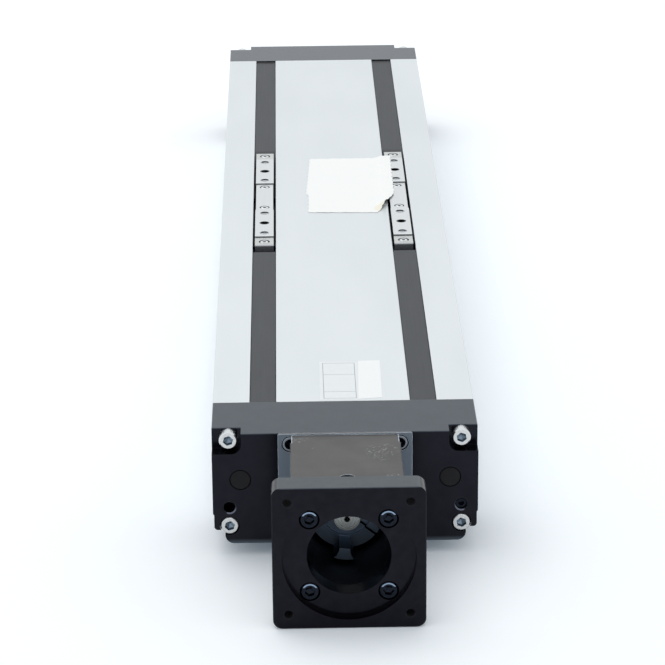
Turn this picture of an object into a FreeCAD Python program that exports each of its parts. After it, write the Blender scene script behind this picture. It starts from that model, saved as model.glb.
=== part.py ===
import FreeCAD, Part
import math
import os

# Linear module: an aluminium profile closed by two end blocks, with a ball screw and two rails inside.
# The carriage reaches through two slots in the top, and two sealing strips dive beneath its bars.
# Millimetres. X is across, Y runs along the travel with the motor end at -Y, Z is up.
# The origin is the middle of the profile's bottom face.

# Body
body_width = 145.0
body_height = 65.0
profile_length = 700.0
drive_block_length = 45.0
idle_block_length = 42.0
axis_height = 32.0
floor_thickness = 8.0
rail_pad_height = 12.0
side_wall = 7.0
top_flange = 4.5
edge_round = 0.6
slot_edge_round = 0.3
inner_round = 1.0
wall_foot_round = 0.8
pad_toe = 3.0
pad_foot = 7.0
pad_foot_round = 2.0
boss_wall = 2.0
boss_round = 2.0
core_reduction = 0.4
tap_run_out = 2.0
overshoot = 1.0

# Clamping groove along the foot, and the sensor groove in each side
clamp_groove_top = 8.1
clamp_lip_height = 3.5
clamp_groove_depth = 6.5
clamp_lip_reach = 3.0
clamp_lip_round = 0.5
sensor_groove_height = 44.0
sensor_mouth = 3.2
sensor_skin = 1.2
sensor_slot_height = 6.0
sensor_slot_depth = 2.8

# Top slots and sealing strips
slot_shoulder = 20.5
slot_width = 14.8
strip_recess = 0.8
strip_thickness = 1.0
strip_side_gap = 0.2
strip_end_gap = 0.3

# Cover plate between the slots
cover_thickness = 3.5
cover_rib_inset = 5.2
cover_rib_width = 3.0
cover_rib_depth = 4.5
cover_rib_round = 0.8
cover_boss_spacing = 40.0
cover_boss_radius = 4.0
cover_boss_drop = 6.6
cover_screw_engagement = 12.0
cover_screw_room = 0.3

# Guide rails and runner blocks
rail_share = 18 / 29
rail_width = 15.0
rail_height = 15.0
rail_seat_depth = 1.0
rail_end_gap = 4.0
rail_waist_depth = 2.0
rail_waist_levels = (5.5, 7.5, 10.5, 12.5)
runner_width = 34.0
runner_clearance = 4.6
runner_height = 24.0
runner_length = 46.0
runner_cap = 4.5
runner_cap_inset = 0.4
runner_top_round = 1.0
runner_foot_round = 0.5
runner_screw_share = 0.28
runner_screw_engagement = 6.5
sunk_head_gap = 0.2
runner_gap = 0.4
runner_floor_gap = 0.7

# Carriage
section_length = 55.0
section_spacing = 110.0
carriage_rest = 10.0
bar_width = 12.0
bar_rise = 1.5
bar_chamfer = 0.6
bar_root = 1.0
link_rise = 0.9
link_thickness = 3.4
link_width = 11.4
link_gap = 0.15
shelf_length = 12.0
guide_length = 15.0
guide_lip = 1.8
guide_lip_drop = 1.2
guide_screw_share = 0.55
top_screw_engagement = 3.8
top_screw_hole = 4.0
nose_gap = 0.2
roof_gap = 0.5
roof_thickness = 3.0
tunnel_width = 16.0
tunnel_height = 3.5
tunnel_wall = 3.5
strip_gap = 1.25
ramp_lead = 12.0
ramp_tail = 2.0
wing_gap = 4.0
wing_shoulder = 5.5
wing_edge_round = 0.5
nut_housing_gap = 2.0
nut_housing_round = 2.0
nut_housing_bottom = 11.5
hole_pitch = 20.0
carriage_thread_radius = 2.5
carriage_thread_depth = 8.5
centring_radius = 3.0
centring_depth = 2.5

# Ball screw drive
screw_radius = 10.0
nut_radius = 18.0
nut_length = 50.0
nut_flange_radius = 26.0
nut_flange_flat = 19.0
nut_flange_thickness = 10.0
nut_bolt_radius = 22.0
nut_bolt_angle = 30.0
nut_screw_engagement = 12.0
nut_thread_depth = 14.0
thread_gap = 0.08
slide_fit = 0.02
idle_screw_clearance = 12.0

# Fixed bearing in the drive block
fixed_seat_radius = 8.5
fixed_race_radius = 13.9
fixed_bearing_radius = 23.5
fixed_bearing_width = 25.0
fixed_shoulder = 8.0
retainer_thickness = 4.8
retainer_bore = 16.0
retainer_hole_radius = 1.5
lock_nut_radius = 14.0
lock_nut_width = 8.0
lock_slot_depth = 2.0
lock_slot_half_width = 2.0
race_gap = 0.1
block_screw_bore = 15.0
fixed_seat_lead = 2.0

# Floating bearing in the idle block
idle_seat_radius = 7.5
idle_race_radius = 11.0
idle_bearing_radius = 17.5
idle_bearing_width = 11.0
idle_shoulder = 12.0
idle_journal_end = 27.0
idle_seat_start = 3.0
ring_thickness = 1.2
ring_radius = 10.0
ring_groove_depth = 0.4
ring_bite = 0.35
ring_mouth_half_width = 2.0

# Coupling hub on the screw
journal_radius = 7.0
journal_lead = 0.8
journal_lead_depth = 0.6
hub_radius = 20.0
hub_length = 38.0
hub_face_depth = 41.0
hub_recess_radius = 12.9
hub_recess_depth = 2.0
jaw_height = 16.0
jaw_count = 3
jaw_inner_radius = 13.5
jaw_inner_half_width = 3.0
jaw_middle_half_width = 3.7
jaw_outer_half_width = 6.3
jaw_first_angle = 264.0
hub_bore_chamfer = 1.0
journal_recess = 8.0
clamp_slit = 1.2
clamp_slit_angle = 321.0
clamp_screw_radius = 14.3
clamp_screw_setback = 7.0
clamp_screw_length = 14.0
clamp_seat_offset = 4.0
clamp_head_gap = 0.3
centre_drill_radius = 1.6
centre_drill_tip = 0.4
centre_drill_depth = 5.0

# Motor mount
mount_length = 90.0
flange_size = 80.0
flange_thickness = 15.0
flange_corner_round = 5.0
flange_edge_chamfer = 0.6
pilot_radius = 35.0
pilot_depth = 4.0
mount_bore_radius = 22.0
motor_bolt_spacing = 63.64
motor_thread_radius = 2.5
flange_screw_spacing = 41.0
mount_box_width = 59.5
mount_box_bottom = 0.5
mount_box_drop = 0.8
mount_box_round = 1.0
mount_plate_width = 73.0
mount_plate_bottom = 1.0
mount_plate_round = 0.8
mount_plate_proud = 1.5
mount_spigot_width = 70.0
mount_spigot_bottom = 3.0
mount_spigot_drop = 1.3
mount_spigot_depth = 7.0
spigot_round = 4.0
spigot_fit = 0.05
spigot_end_gap = 0.2
mount_screw_x = 29.8
mount_screw_drop = 6.0
mount_screw_bottom = 8.5
mount_screw_engagement = 10.0
mount_thread_depth = 12.0
flange_screw_engagement = 14.0
flange_thread_depth = 16.0
screw_relief_radius = 5.2
screw_relief_straight = 10.0
screw_relief_taper = 14.0
screw_relief_tip = 0.5
access_hole_radius = 4.0
access_hole_setback = 31.0

# End blocks
notch_side = 16.0
notch_height = 12.0
notch_depth = 9.0
notch_round = 5.5
block_screw_inset = 9.0
block_screw_drop = 5.3
block_screw_bottom = 10.5
block_screw_engagement = 20.0
block_foot_round = 5.0
block_heel_round = 2.0
block_side_step = 0.6
block_side_step_height = 17.0
plug_inset = 15.3
plug_height = 37.8
plug_radius = 5.5
plug_depth = 10.0
plug_length = 8.0
plug_gap = 0.1
plug_setback = 0.1
lube_port_inset = 9.1
lube_port_height = 21.2
lube_port_radius = 3.0
lube_port_chamfer = 0.7
lube_port_depth = 14.0
lube_screw_setback = 2.0
lube_screw_length = 6.0
lube_screw_key = 3.0
lube_screw_key_depth = 2.5

# Idle end cover
end_cover_width = 70.0
end_cover_bottom = 1.0
end_cover_drop = 0.5
end_cover_round = 1.0
end_cover_proud = 1.5
end_spigot_width = 67.0
end_spigot_bottom = 3.0
end_spigot_drop = 2.0
end_spigot_depth = 6.0
end_cover_screw_x = 28.0
end_cover_screw_drop = 7.5
end_cover_screw_bottom = 8.5
end_cover_screw_engagement = 10.0
end_cover_thread_depth = 12.0

# Bumpers, strip clamps and side switches
bumper_x = 34.0
bumper_drop = 21.0
bumper_radius = 6.0
bumper_length = 25.0
bumper_stud = 5.0
bumper_hole = 6.0
strip_clamp_length = 5.5
strip_clamp_height = 5.0
strip_clamp_width = 14.0
strip_clamp_engagement = 8.0
strip_clamp_hole = 10.0
small_head_share = 0.8
small_bore_share = 0.85
switch_proud = 3.0
switch_height = 9.0
reference_switch_start = 56.0
reference_switch_length = 30.0
limit_switch_start = -62.0
limit_switch_length = 24.0
switch_round = 1.0
switch_foot_gap = 0.2
switch_foot_depth = 1.0

# Screws: head radius, head height, thread radius and hexagon key
m3 = {"head": 2.75, "height": 1.9, "thread": 1.5, "key": 2.0}
m4 = {"head": 3.5, "height": 4.0, "thread": 2.0, "key": 3.0}
m5 = {"head": 4.25, "height": 5.0, "thread": 2.5, "key": 4.0}
m6 = {"head": 5.0, "height": 6.0, "thread": 3.0, "key": 5.0}
screw_gap = 0.05
head_gap = 0.4

# Places worked out from the sizes above
half_width = body_width / 2
wing_half_width = half_width - side_wall - wing_gap
rail_centre = half_width * rail_share
nut_housing_half_width = rail_centre - runner_width / 2 - nut_housing_gap
profile_end = profile_length / 2
drive_face = -profile_end - drive_block_length
idle_face = profile_end + idle_block_length
motor_face = drive_face - mount_length
flange_rear = motor_face + flange_thickness
flange_underside = body_height - top_flange
slot_outer = half_width - slot_shoulder
slot_centre = slot_outer - slot_width / 2
slot_inner = slot_outer - slot_width
rail_seat = rail_pad_height - rail_seat_depth
rail_top = rail_seat + rail_height
runner_bottom = rail_seat + runner_clearance
runner_top = rail_seat + runner_height
roof_top = flange_underside - roof_gap
tunnel_top = roof_top - roof_thickness
deck_top = tunnel_top - tunnel_height
strip_low = tunnel_top - strip_gap
strip_high = body_height - strip_recess
bar_top = body_height + bar_rise
link_top = body_height + link_rise
seat_level = link_top - link_thickness
ramp_length = guide_length + ramp_lead - ramp_tail
ramp_drop = strip_high - strip_low
ramp_radius = (ramp_length ** 2 + ramp_drop ** 2) / (4 * ramp_drop)
nose_length = guide_length - guide_lip - nose_gap
drive_section = carriage_rest - section_spacing / 2
idle_section = carriage_rest + section_spacing / 2
fixed_bearing_end = -profile_end - fixed_shoulder
fixed_bearing_start = fixed_bearing_end - fixed_bearing_width
drive_pocket_floor = drive_face + mount_spigot_depth + spigot_end_gap
hub_face = motor_face + hub_face_depth
hub_back = hub_face + hub_length
idle_bearing_start = profile_end + idle_shoulder
idle_pocket_floor = idle_face - end_spigot_depth - spigot_end_gap
cover_boss_height = body_height - cover_boss_drop
cover_underside = body_height - cover_thickness
strip_clamp_top = strip_high - strip_thickness
mount_box_top = body_height - mount_box_drop
mount_spigot_top = body_height - mount_spigot_drop
mount_screw_top = body_height - mount_screw_drop
end_cover_top = body_height - end_cover_drop
end_spigot_top = body_height - end_spigot_drop
end_cover_screw_top = body_height - end_cover_screw_drop
bumper_height = body_height - bumper_drop
block_screw_x = half_width - block_screw_inset
block_screw_top = body_height - block_screw_drop
plug_x = half_width - plug_inset
lube_port_x = half_width - lube_port_inset


def v(x, y, z):
    return FreeCAD.Vector(x, y, z)


def box(x0, x1, y0, y1, z0, z1):
    return Part.makeBox(x1 - x0, y1 - y0, z1 - z0, v(x0, y0, z0))


def rod_y(x, z, radius, y0, y1):
    return Part.makeCylinder(radius, y1 - y0, v(x, y0, z), v(0, 1, 0))


def rod_z(x, y, radius, z0, z1):
    return Part.makeCylinder(radius, z1 - z0, v(x, y, z0), v(0, 0, 1))


def tube_y(outer, inner, y0, y1):
    return rod_y(0, axis_height, outer, y0, y1).cut(rod_y(0, axis_height, inner, y0, y1))


def mirrored(shape):
    return shape.mirror(v(0, 0, 0), v(1, 0, 0))


def both_sides(shape):
    return Part.makeCompound([mirrored(shape), shape])


def rounded_face(corners, to_point):
    """A face through corners (u, w, round), with a tangent arc at each corner whose round is not zero."""
    edges = []
    starts = []
    ends = []
    arcs = []
    count = len(corners)
    for i in range(count):
        u, w, radius = corners[i]
        here = v(u, w, 0)
        back = v(*corners[i - 1][:2], 0) - here
        ahead = v(*corners[(i + 1) % count][:2], 0) - here
        if radius <= 0:
            starts.append(here)
            ends.append(here)
            arcs.append(None)
            continue
        half = back.getAngle(ahead) / 2
        run = radius / math.tan(half)
        first = here + back.normalize() * run
        last = here + ahead.normalize() * run
        inward = (back + ahead).normalize()
        middle = here + inward * (radius / math.sin(half) - radius)
        starts.append(first)
        ends.append(last)
        arcs.append(middle)
    for i in range(count):
        if arcs[i] is not None:
            edges.append(Part.Arc(to_point(starts[i]), to_point(arcs[i]), to_point(ends[i])).toShape())
        following = starts[(i + 1) % count]
        if ends[i].distanceToPoint(following) > 1e-6:
            edges.append(Part.LineSegment(to_point(ends[i]), to_point(following)).toShape())
    return Part.Face(Part.Wire(edges))


def along_y(corners, y0, y1):
    """An outline in X and Z carried from y0 to y1."""
    face = rounded_face(corners, lambda p: v(p.x, y0, p.y))
    return face.extrude(v(0, y1 - y0, 0))


def along_x(corners, x0, x1):
    """An outline in Y and Z carried from x0 to x1."""
    face = rounded_face(corners, lambda p: v(x0, p.x, p.y))
    return face.extrude(v(x1 - x0, 0, 0))


def symmetric(right_half):
    """Corners of the right half, and their mirror images in reverse."""
    return right_half + [(-u, w, r) for u, w, r in reversed(right_half)]


def rounded_rectangle(half, low, high, radius):
    return [(-half, low, radius), (half, low, radius), (half, high, radius), (-half, high, radius)]


def turned(steps):
    """A shaft about the screw axis: each step (y, radius) starts a radius there, and the last ends the shaft."""
    points = [v(0, steps[0][0], axis_height)]
    for i in range(len(steps) - 1):
        y, radius = steps[i]
        points.append(v(radius, y, axis_height))
        points.append(v(radius, steps[i + 1][0], axis_height))
    points.append(v(0, steps[-1][0], axis_height))
    wire = Part.makePolygon(points + [points[0]])
    return Part.Face(wire).revolve(v(0, 0, axis_height), v(0, 1, 0), 360)


def hexagon_key(across_flats, depth, top):
    corners = []
    for i in range(7):
        angle = math.radians(60 * i)
        reach = across_flats / math.sqrt(3)
        corners.append(v(reach * math.cos(angle), reach * math.sin(angle), top - depth))
    return Part.Face(Part.makePolygon(corners)).extrude(v(0, 0, depth))


def cap_screw(size, length):
    """A socket screw that points down, with the seat of its head at the origin."""
    head = Part.makeCylinder(size["head"], size["height"])
    socket = hexagon_key(size["key"], size["height"] * 0.5, size["height"])
    shank = Part.makeCylinder(size["thread"], length, v(0, 0, -length))
    return head.cut(socket).fuse(shank)


def placed(shape, x, y, z, towards):
    """The shape turned so that its -Z points towards the given direction, then moved to x, y, z."""
    copy = shape.copy()
    copy.Placement = FreeCAD.Placement(v(x, y, z), FreeCAD.Rotation(v(0, 0, -1), towards))
    return copy


def end_groups(top, bottom, x):
    return [(side * x, z) for side in (-1, 1) for z in (top, bottom)]


def profile_outline():
    mouth = sensor_mouth / 2
    slot = sensor_slot_height / 2
    skin_x = half_width - sensor_skin
    slot_x = skin_x - sensor_slot_depth
    wall_x = half_width - side_wall
    groove_x = half_width - clamp_groove_depth
    boss = m6["thread"] + boss_wall
    boss_in = block_screw_x - boss
    rail_in = rail_centre - rail_width / 2 - slide_fit
    rail_out = rail_centre + rail_width / 2 + slide_fit
    right = [
        (groove_x + clamp_lip_reach, 0, clamp_lip_round),
        (groove_x + clamp_lip_reach, clamp_lip_height, clamp_lip_round),
        (groove_x, clamp_lip_height, 0),
        (groove_x, clamp_groove_top, 0),
        (half_width, clamp_groove_top, wall_foot_round),
        (half_width, sensor_groove_height - mouth, 0),
        (skin_x, sensor_groove_height - mouth, 0),
        (skin_x, sensor_groove_height - slot, 0),
        (slot_x, sensor_groove_height - slot, 0),
        (slot_x, sensor_groove_height + slot, 0),
        (skin_x, sensor_groove_height + slot, 0),
        (skin_x, sensor_groove_height + mouth, 0),
        (half_width, sensor_groove_height + mouth, 0),
        (half_width, body_height, edge_round),
        (slot_outer, body_height, slot_edge_round),
        (slot_outer, flange_underside, 0),
        (boss_in, flange_underside, 0),
        (boss_in, block_screw_top - boss, boss_round),
        (wall_x, block_screw_top - boss - boss_round, boss_round),
        (wall_x, runner_bottom - runner_floor_gap, inner_round),
        (boss_in, runner_bottom - runner_floor_gap, inner_round),
        (boss_in - boss_wall, rail_pad_height, inner_round),
        (rail_out, rail_pad_height, 0),
        (rail_out, rail_seat, 0),
        (rail_in, rail_seat, 0),
        (rail_in, rail_pad_height, 0),
        (rail_in - pad_toe, rail_pad_height, inner_round),
        (rail_in - pad_foot, floor_thickness, pad_foot_round),
    ]
    return symmetric(right)


def main_profile():
    body = along_y(profile_outline(), -profile_end, profile_end)
    tapped = block_screw_engagement + tap_run_out
    for x, z in end_groups(block_screw_top, block_screw_bottom, block_screw_x):
        body = body.cut(rod_y(x, z, m6["thread"] - core_reduction, -profile_end, profile_end))
        for y0, y1 in ((-profile_end, -profile_end + tapped), (profile_end - tapped, profile_end)):
            body = body.cut(rod_y(x, z, m6["thread"] + screw_gap, y0, y1))
    return body


def cover_plate():
    rib_out = slot_inner - cover_rib_inset
    rib_in = rib_out - cover_rib_width
    rib_bottom = cover_underside - cover_rib_depth
    right = [
        (slot_inner, body_height, slot_edge_round),
        (slot_inner, cover_underside, 0),
        (rib_out, cover_underside, cover_rib_round),
        (rib_out, rib_bottom, cover_rib_round),
        (rib_in, rib_bottom, cover_rib_round),
        (rib_in, cover_underside, cover_rib_round),
    ]
    plate = along_y(symmetric(right), -profile_end, profile_end)
    for side in (-1, 1):
        x = side * cover_boss_spacing / 2
        plate = plate.fuse(rod_y(x, cover_boss_height, cover_boss_radius, -profile_end, profile_end))
    for side in (-1, 1):
        x = side * cover_boss_spacing / 2
        plate = plate.cut(rod_y(x, cover_boss_height, m4["thread"] + screw_gap, -profile_end, profile_end))
    return plate.removeSplitter()


def block_outline():
    foot = half_width - clamp_groove_depth
    inset = half_width - block_side_step
    right = [
        (foot, 0, block_foot_round),
        (foot, clamp_groove_top, 0),
        (inset, clamp_groove_top, block_heel_round),
        (inset, block_side_step_height, 0),
        (half_width, block_side_step_height + block_side_step, 0),
        (half_width, body_height, edge_round),
    ]
    return symmetric(right)


def screw_notches(outer, inner):
    """The cut-outs at both top corners, from the outer face inwards."""
    y0 = min(outer, inner)
    y1 = max(outer, inner)
    inside = half_width - notch_side
    floor = body_height - notch_height
    corners = [
        (inside, floor, notch_round),
        (half_width + overshoot, floor, 0),
        (half_width + overshoot, body_height + overshoot, 0),
        (inside, body_height + overshoot, 0),
    ]
    return both_sides(along_y(corners, y0, y1))


def spigot(width, bottom, top, y0, y1, grow):
    return along_y(rounded_rectangle(width / 2 + grow, bottom - grow, top + grow, spigot_round), y0, y1)


def screw_holes(block, outer, inner, inwards):
    """The four holes for the screws that hold a block to the profile, the lower two counterbored."""
    thread = m6["thread"] + screw_gap
    y0 = min(outer, inner)
    y1 = max(outer, inner)
    seat = outer + inwards * notch_depth
    for x, z in end_groups(block_screw_top, block_screw_bottom, block_screw_x):
        block = block.cut(rod_y(x, z, thread, y0, y1))
    for side in (-1, 1):
        bore = rod_y(side * block_screw_x, block_screw_bottom, m6["head"] + head_gap,
                     min(outer, outer + inwards * m6["height"]), max(outer, outer + inwards * m6["height"]))
        block = block.cut(bore)
    return block.cut(screw_notches(outer, seat))


def strip_clamp_holes(block, face, inwards):
    z = strip_clamp_top - strip_clamp_height / 2
    for side in (-1, 1):
        y0, y1 = sorted((face, face - inwards * strip_clamp_hole))
        block = block.cut(rod_y(side * slot_centre, z, m3["thread"] + screw_gap, y0, y1))
    return block


def bumper_holes(block, face, outwards):
    y0, y1 = sorted((face, face + outwards * bumper_hole))
    for side in (-1, 1):
        block = block.cut(rod_y(side * bumper_x, bumper_height, m4["thread"] + screw_gap, y0, y1))
    return block


def drive_end_block():
    inner = -profile_end
    block = along_y(block_outline(), drive_face, inner)
    block = screw_holes(block, drive_face, inner, 1)
    block = block.cut(spigot(mount_spigot_width, mount_spigot_bottom, mount_spigot_top,
                             drive_face, drive_pocket_floor, spigot_fit))
    seat_radius = fixed_bearing_radius + slide_fit
    block = block.cut(rod_y(0, axis_height, seat_radius, drive_face, fixed_bearing_end))
    block = block.cut(rod_y(0, axis_height, block_screw_bore, drive_face, inner))
    for x, z in end_groups(mount_screw_top, mount_screw_bottom, mount_screw_x):
        block = block.cut(rod_y(x, z, m5["thread"] + screw_gap, drive_face,
                                drive_pocket_floor + mount_thread_depth))
    for side in (-1, 1):
        x = side * cover_boss_spacing / 2
        head_end = drive_pocket_floor + m4["height"] + cover_screw_room
        block = block.cut(rod_y(x, cover_boss_height, m4["head"] + cover_screw_room, drive_face, head_end))
        block = block.cut(rod_y(x, cover_boss_height, m4["thread"] + screw_gap, drive_face, inner))
        block = block.cut(rod_y(side * plug_x, plug_height, plug_radius,
                                drive_face, drive_face + plug_depth))
        block = block.cut(rod_y(side * lube_port_x, lube_port_height, lube_port_radius,
                                drive_face, drive_face + lube_port_depth))
        rim = Part.makeCone(lube_port_radius + lube_port_chamfer, lube_port_radius, lube_port_chamfer,
                            v(side * lube_port_x, drive_face, lube_port_height), v(0, 1, 0))
        block = block.cut(rim)
    block = strip_clamp_holes(block, inner, 1)
    return bumper_holes(block, inner, -1)


def idle_end_block():
    inner = profile_end
    block = along_y(block_outline(), inner, idle_face)
    block = screw_holes(block, idle_face, inner, -1)
    block = block.cut(spigot(end_spigot_width, end_spigot_bottom, end_spigot_top,
                             idle_pocket_floor, idle_face, spigot_fit))
    block = block.cut(rod_y(0, axis_height, idle_bearing_radius + slide_fit, idle_bearing_start, idle_face))
    block = block.cut(rod_y(0, axis_height, block_screw_bore, inner, idle_face))
    for x, z in end_groups(end_cover_screw_top, end_cover_screw_bottom, end_cover_screw_x):
        block = block.cut(rod_y(x, z, m5["thread"] + screw_gap,
                                idle_pocket_floor - end_cover_thread_depth, idle_face))
    for side in (-1, 1):
        x = side * cover_boss_spacing / 2
        head_end = idle_pocket_floor - m4["height"] - cover_screw_room
        block = block.cut(rod_y(x, cover_boss_height, m4["head"] + cover_screw_room, head_end, idle_face))
        block = block.cut(rod_y(x, cover_boss_height, m4["thread"] + screw_gap, inner, idle_face))
    block = strip_clamp_holes(block, inner, -1)
    return bumper_holes(block, inner, 1)


def strip_line(level):
    """Edges of the strip's run seen from the side, from end to end, lowered beneath the carriage."""
    end = profile_end - strip_end_gap
    half_ramp = ramp_length / 2
    outer_near = drive_section - section_length / 2 - guide_length - ramp_lead
    outer_far = idle_section + section_length / 2 + guide_length + ramp_lead
    high = strip_high + level
    low = strip_low + level
    middle = (high + low) / 2
    quarter = math.asin(half_ramp / ramp_radius) / 2
    sag_y = ramp_radius * math.sin(quarter)
    sag_z = ramp_radius * (1 - math.cos(quarter))

    def at(y, z):
        return v(0, y, z)

    def ramp(top_y, inwards):
        bend = top_y + inwards * half_ramp
        foot = top_y + inwards * ramp_length
        upper = Part.Arc(at(top_y, high), at(top_y + inwards * sag_y, high - sag_z), at(bend, middle))
        lower = Part.Arc(at(bend, middle), at(foot - inwards * sag_y, low + sag_z), at(foot, low))
        return [upper.toShape(), lower.toShape()]

    near = ramp(outer_near, 1)
    far = ramp(outer_far, -1)
    return [
        Part.LineSegment(at(-end, high), at(outer_near, high)).toShape(),
        near[0],
        near[1],
        Part.LineSegment(at(outer_near + ramp_length, low), at(outer_far - ramp_length, low)).toShape(),
        far[1],
        far[0],
        Part.LineSegment(at(outer_far, high), at(end, high)).toShape(),
    ]


def sealing_strip(side):
    end = profile_end - strip_end_gap
    width = slot_width - 2 * strip_side_gap
    under = strip_high - strip_thickness
    edges = strip_line(0) + strip_line(-strip_thickness)
    edges.append(Part.LineSegment(v(0, -end, strip_high), v(0, -end, under)).toShape())
    edges.append(Part.LineSegment(v(0, end, strip_high), v(0, end, under)).toShape())
    face = Part.Face(Part.Wire(Part.__sortEdges__(edges)))
    strip = face.extrude(v(width, 0, 0))
    strip.translate(v(side * slot_centre - width / 2, 0, 0))
    return strip


def strip_clamps():
    half = strip_clamp_width / 2
    hole_z = strip_clamp_top - strip_clamp_height / 2
    clamps = []
    for side in (-1, 1):
        x = side * slot_centre
        for y0, y1, head in ((-profile_end, -profile_end + strip_clamp_length, -m3["height"]),
                             (profile_end - strip_clamp_length, profile_end, m3["height"])):
            clamp = box(x - half, x + half, y0, y1, strip_clamp_top - strip_clamp_height, strip_clamp_top)
            face = y1 if head < 0 else y0
            clamp = clamp.cut(rod_y(x, hole_z, m3["thread"] + screw_gap, y0, y1))
            clamp = clamp.cut(rod_y(x, hole_z, m3["head"] * small_bore_share,
                                    min(face, face + head), max(face, face + head)))
            clamps.append(clamp)
    return Part.makeCompound(clamps)


def strip_clamp_screws():
    size = dict(m3, head=m3["head"] * small_head_share)
    z = strip_clamp_top - strip_clamp_height / 2
    reach = strip_clamp_length - m3["height"]
    screws = []
    for side in (-1, 1):
        for end, towards in ((-1, v(0, -1, 0)), (1, v(0, 1, 0))):
            screw = cap_screw(size, reach + strip_clamp_engagement)
            screws.append(placed(screw, side * slot_centre, end * (profile_end - reach), z, towards))
    return Part.makeCompound(screws)


def rail_outline(grow):
    side = rail_centre + rail_width / 2 + grow
    waist = side - rail_waist_depth
    foot_top, waist_low, waist_high, head_low = [rail_seat + level for level in rail_waist_levels]
    right = [
        (side, rail_seat, 0),
        (side, foot_top, 0),
        (waist, waist_low, 0),
        (waist, waist_high, 0),
        (side, head_low, 0),
        (side, rail_top + grow, 0),
    ]
    left = [(2 * rail_centre - u, w, r) for u, w, r in reversed(right)]
    return right + left


def guide_rail(side):
    rail = along_y(rail_outline(0), -profile_end + rail_end_gap, profile_end - rail_end_gap)
    return rail if side > 0 else mirrored(rail)


def runner_outline(shrink):
    """The runner's section: a block that reaches over the rail and hooks into its waist."""
    half = runner_width / 2 - shrink
    inner = [(u, max(w, runner_bottom + shrink), r) for u, w, r in rail_outline(runner_gap)]
    inner = [p for i, p in enumerate(inner) if i == 0 or p[:2] != inner[i - 1][:2]]
    right = inner[:len(inner) // 2]
    left = inner[len(inner) // 2:]
    top = runner_top - shrink
    bottom = runner_bottom + shrink
    outer_right = [(rail_centre + half, top, runner_top_round),
                   (rail_centre + half, bottom, runner_foot_round)]
    outer_left = [(rail_centre - half, bottom, runner_foot_round),
                  (rail_centre - half, top, runner_top_round)]
    return outer_right + right + left + outer_left


def runner_block(side, section):
    half = runner_length / 2
    block = along_y(runner_outline(0), section - half, section + half)
    for y in runner_screw_places(section):
        block = block.cut(rod_z(slot_centre, y, m4["thread"] + screw_gap,
                                rail_top + runner_gap, runner_top))
    return block if side > 0 else mirrored(block)


def runner_end_caps():
    caps = []
    half = runner_length / 2
    for section in (drive_section, idle_section):
        for y in (section - half - runner_cap, section + half):
            cap = along_y(runner_outline(runner_cap_inset), y, y + runner_cap)
            caps += [cap, mirrored(cap)]
    return Part.makeCompound(caps)


def runner_screw_places(section):
    offset = runner_length * runner_screw_share
    return (section - offset, section + offset)


def runner_screws():
    screws = []
    seat = deck_top - m4["height"] - sunk_head_gap
    for section in (drive_section, idle_section):
        for y in runner_screw_places(section):
            for side in (-1, 1):
                screw = cap_screw(m4, seat - runner_top + runner_screw_engagement)
                screws.append(placed(screw, side * slot_centre, y, seat, v(0, 0, -1)))
    return Part.makeCompound(screws)


def carriage_section_outline():
    inner_wall = slot_centre - tunnel_width / 2 - tunnel_wall
    outer_wall = slot_centre + tunnel_width / 2 + tunnel_wall
    right = [
        (nut_housing_half_width, nut_housing_bottom, nut_housing_round),
        (nut_housing_half_width, runner_top, 0),
        (wing_half_width, runner_top, wing_edge_round),
        (wing_half_width, deck_top - wing_shoulder, inner_round),
        (outer_wall, deck_top, 0),
        (outer_wall, roof_top, wing_edge_round),
        (inner_wall, roof_top, wing_edge_round),
        (inner_wall, deck_top, inner_round),
    ]
    return symmetric(right)


def carriage_nose(end, outwards):
    """The tongue that carries a strip guide, its underside curved with the strip below it."""
    base = end + outwards * ramp_tail
    tip = end + outwards * nose_length
    centre_z = strip_low + ramp_radius
    radius = ramp_radius - strip_gap
    reach = nose_length - ramp_tail
    tip_z = centre_z - math.sqrt(radius ** 2 - reach ** 2)
    half_angle = math.asin(reach / radius) / 2
    mid = v(0, base + outwards * radius * math.sin(half_angle), centre_z - radius * math.cos(half_angle))
    edges = [
        Part.LineSegment(v(0, end, tunnel_top), v(0, base, tunnel_top)).toShape(),
        Part.Arc(v(0, base, tunnel_top), mid, v(0, tip, tip_z)).toShape(),
        Part.LineSegment(v(0, tip, tip_z), v(0, tip, seat_level)).toShape(),
        Part.LineSegment(v(0, tip, seat_level), v(0, end, seat_level)).toShape(),
        Part.LineSegment(v(0, end, seat_level), v(0, end, tunnel_top)).toShape(),
    ]
    nose = Part.Face(Part.Wire(edges)).extrude(v(bar_width, 0, 0))
    nose.translate(v(slot_centre - bar_width / 2, 0, 0))
    return nose


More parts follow.
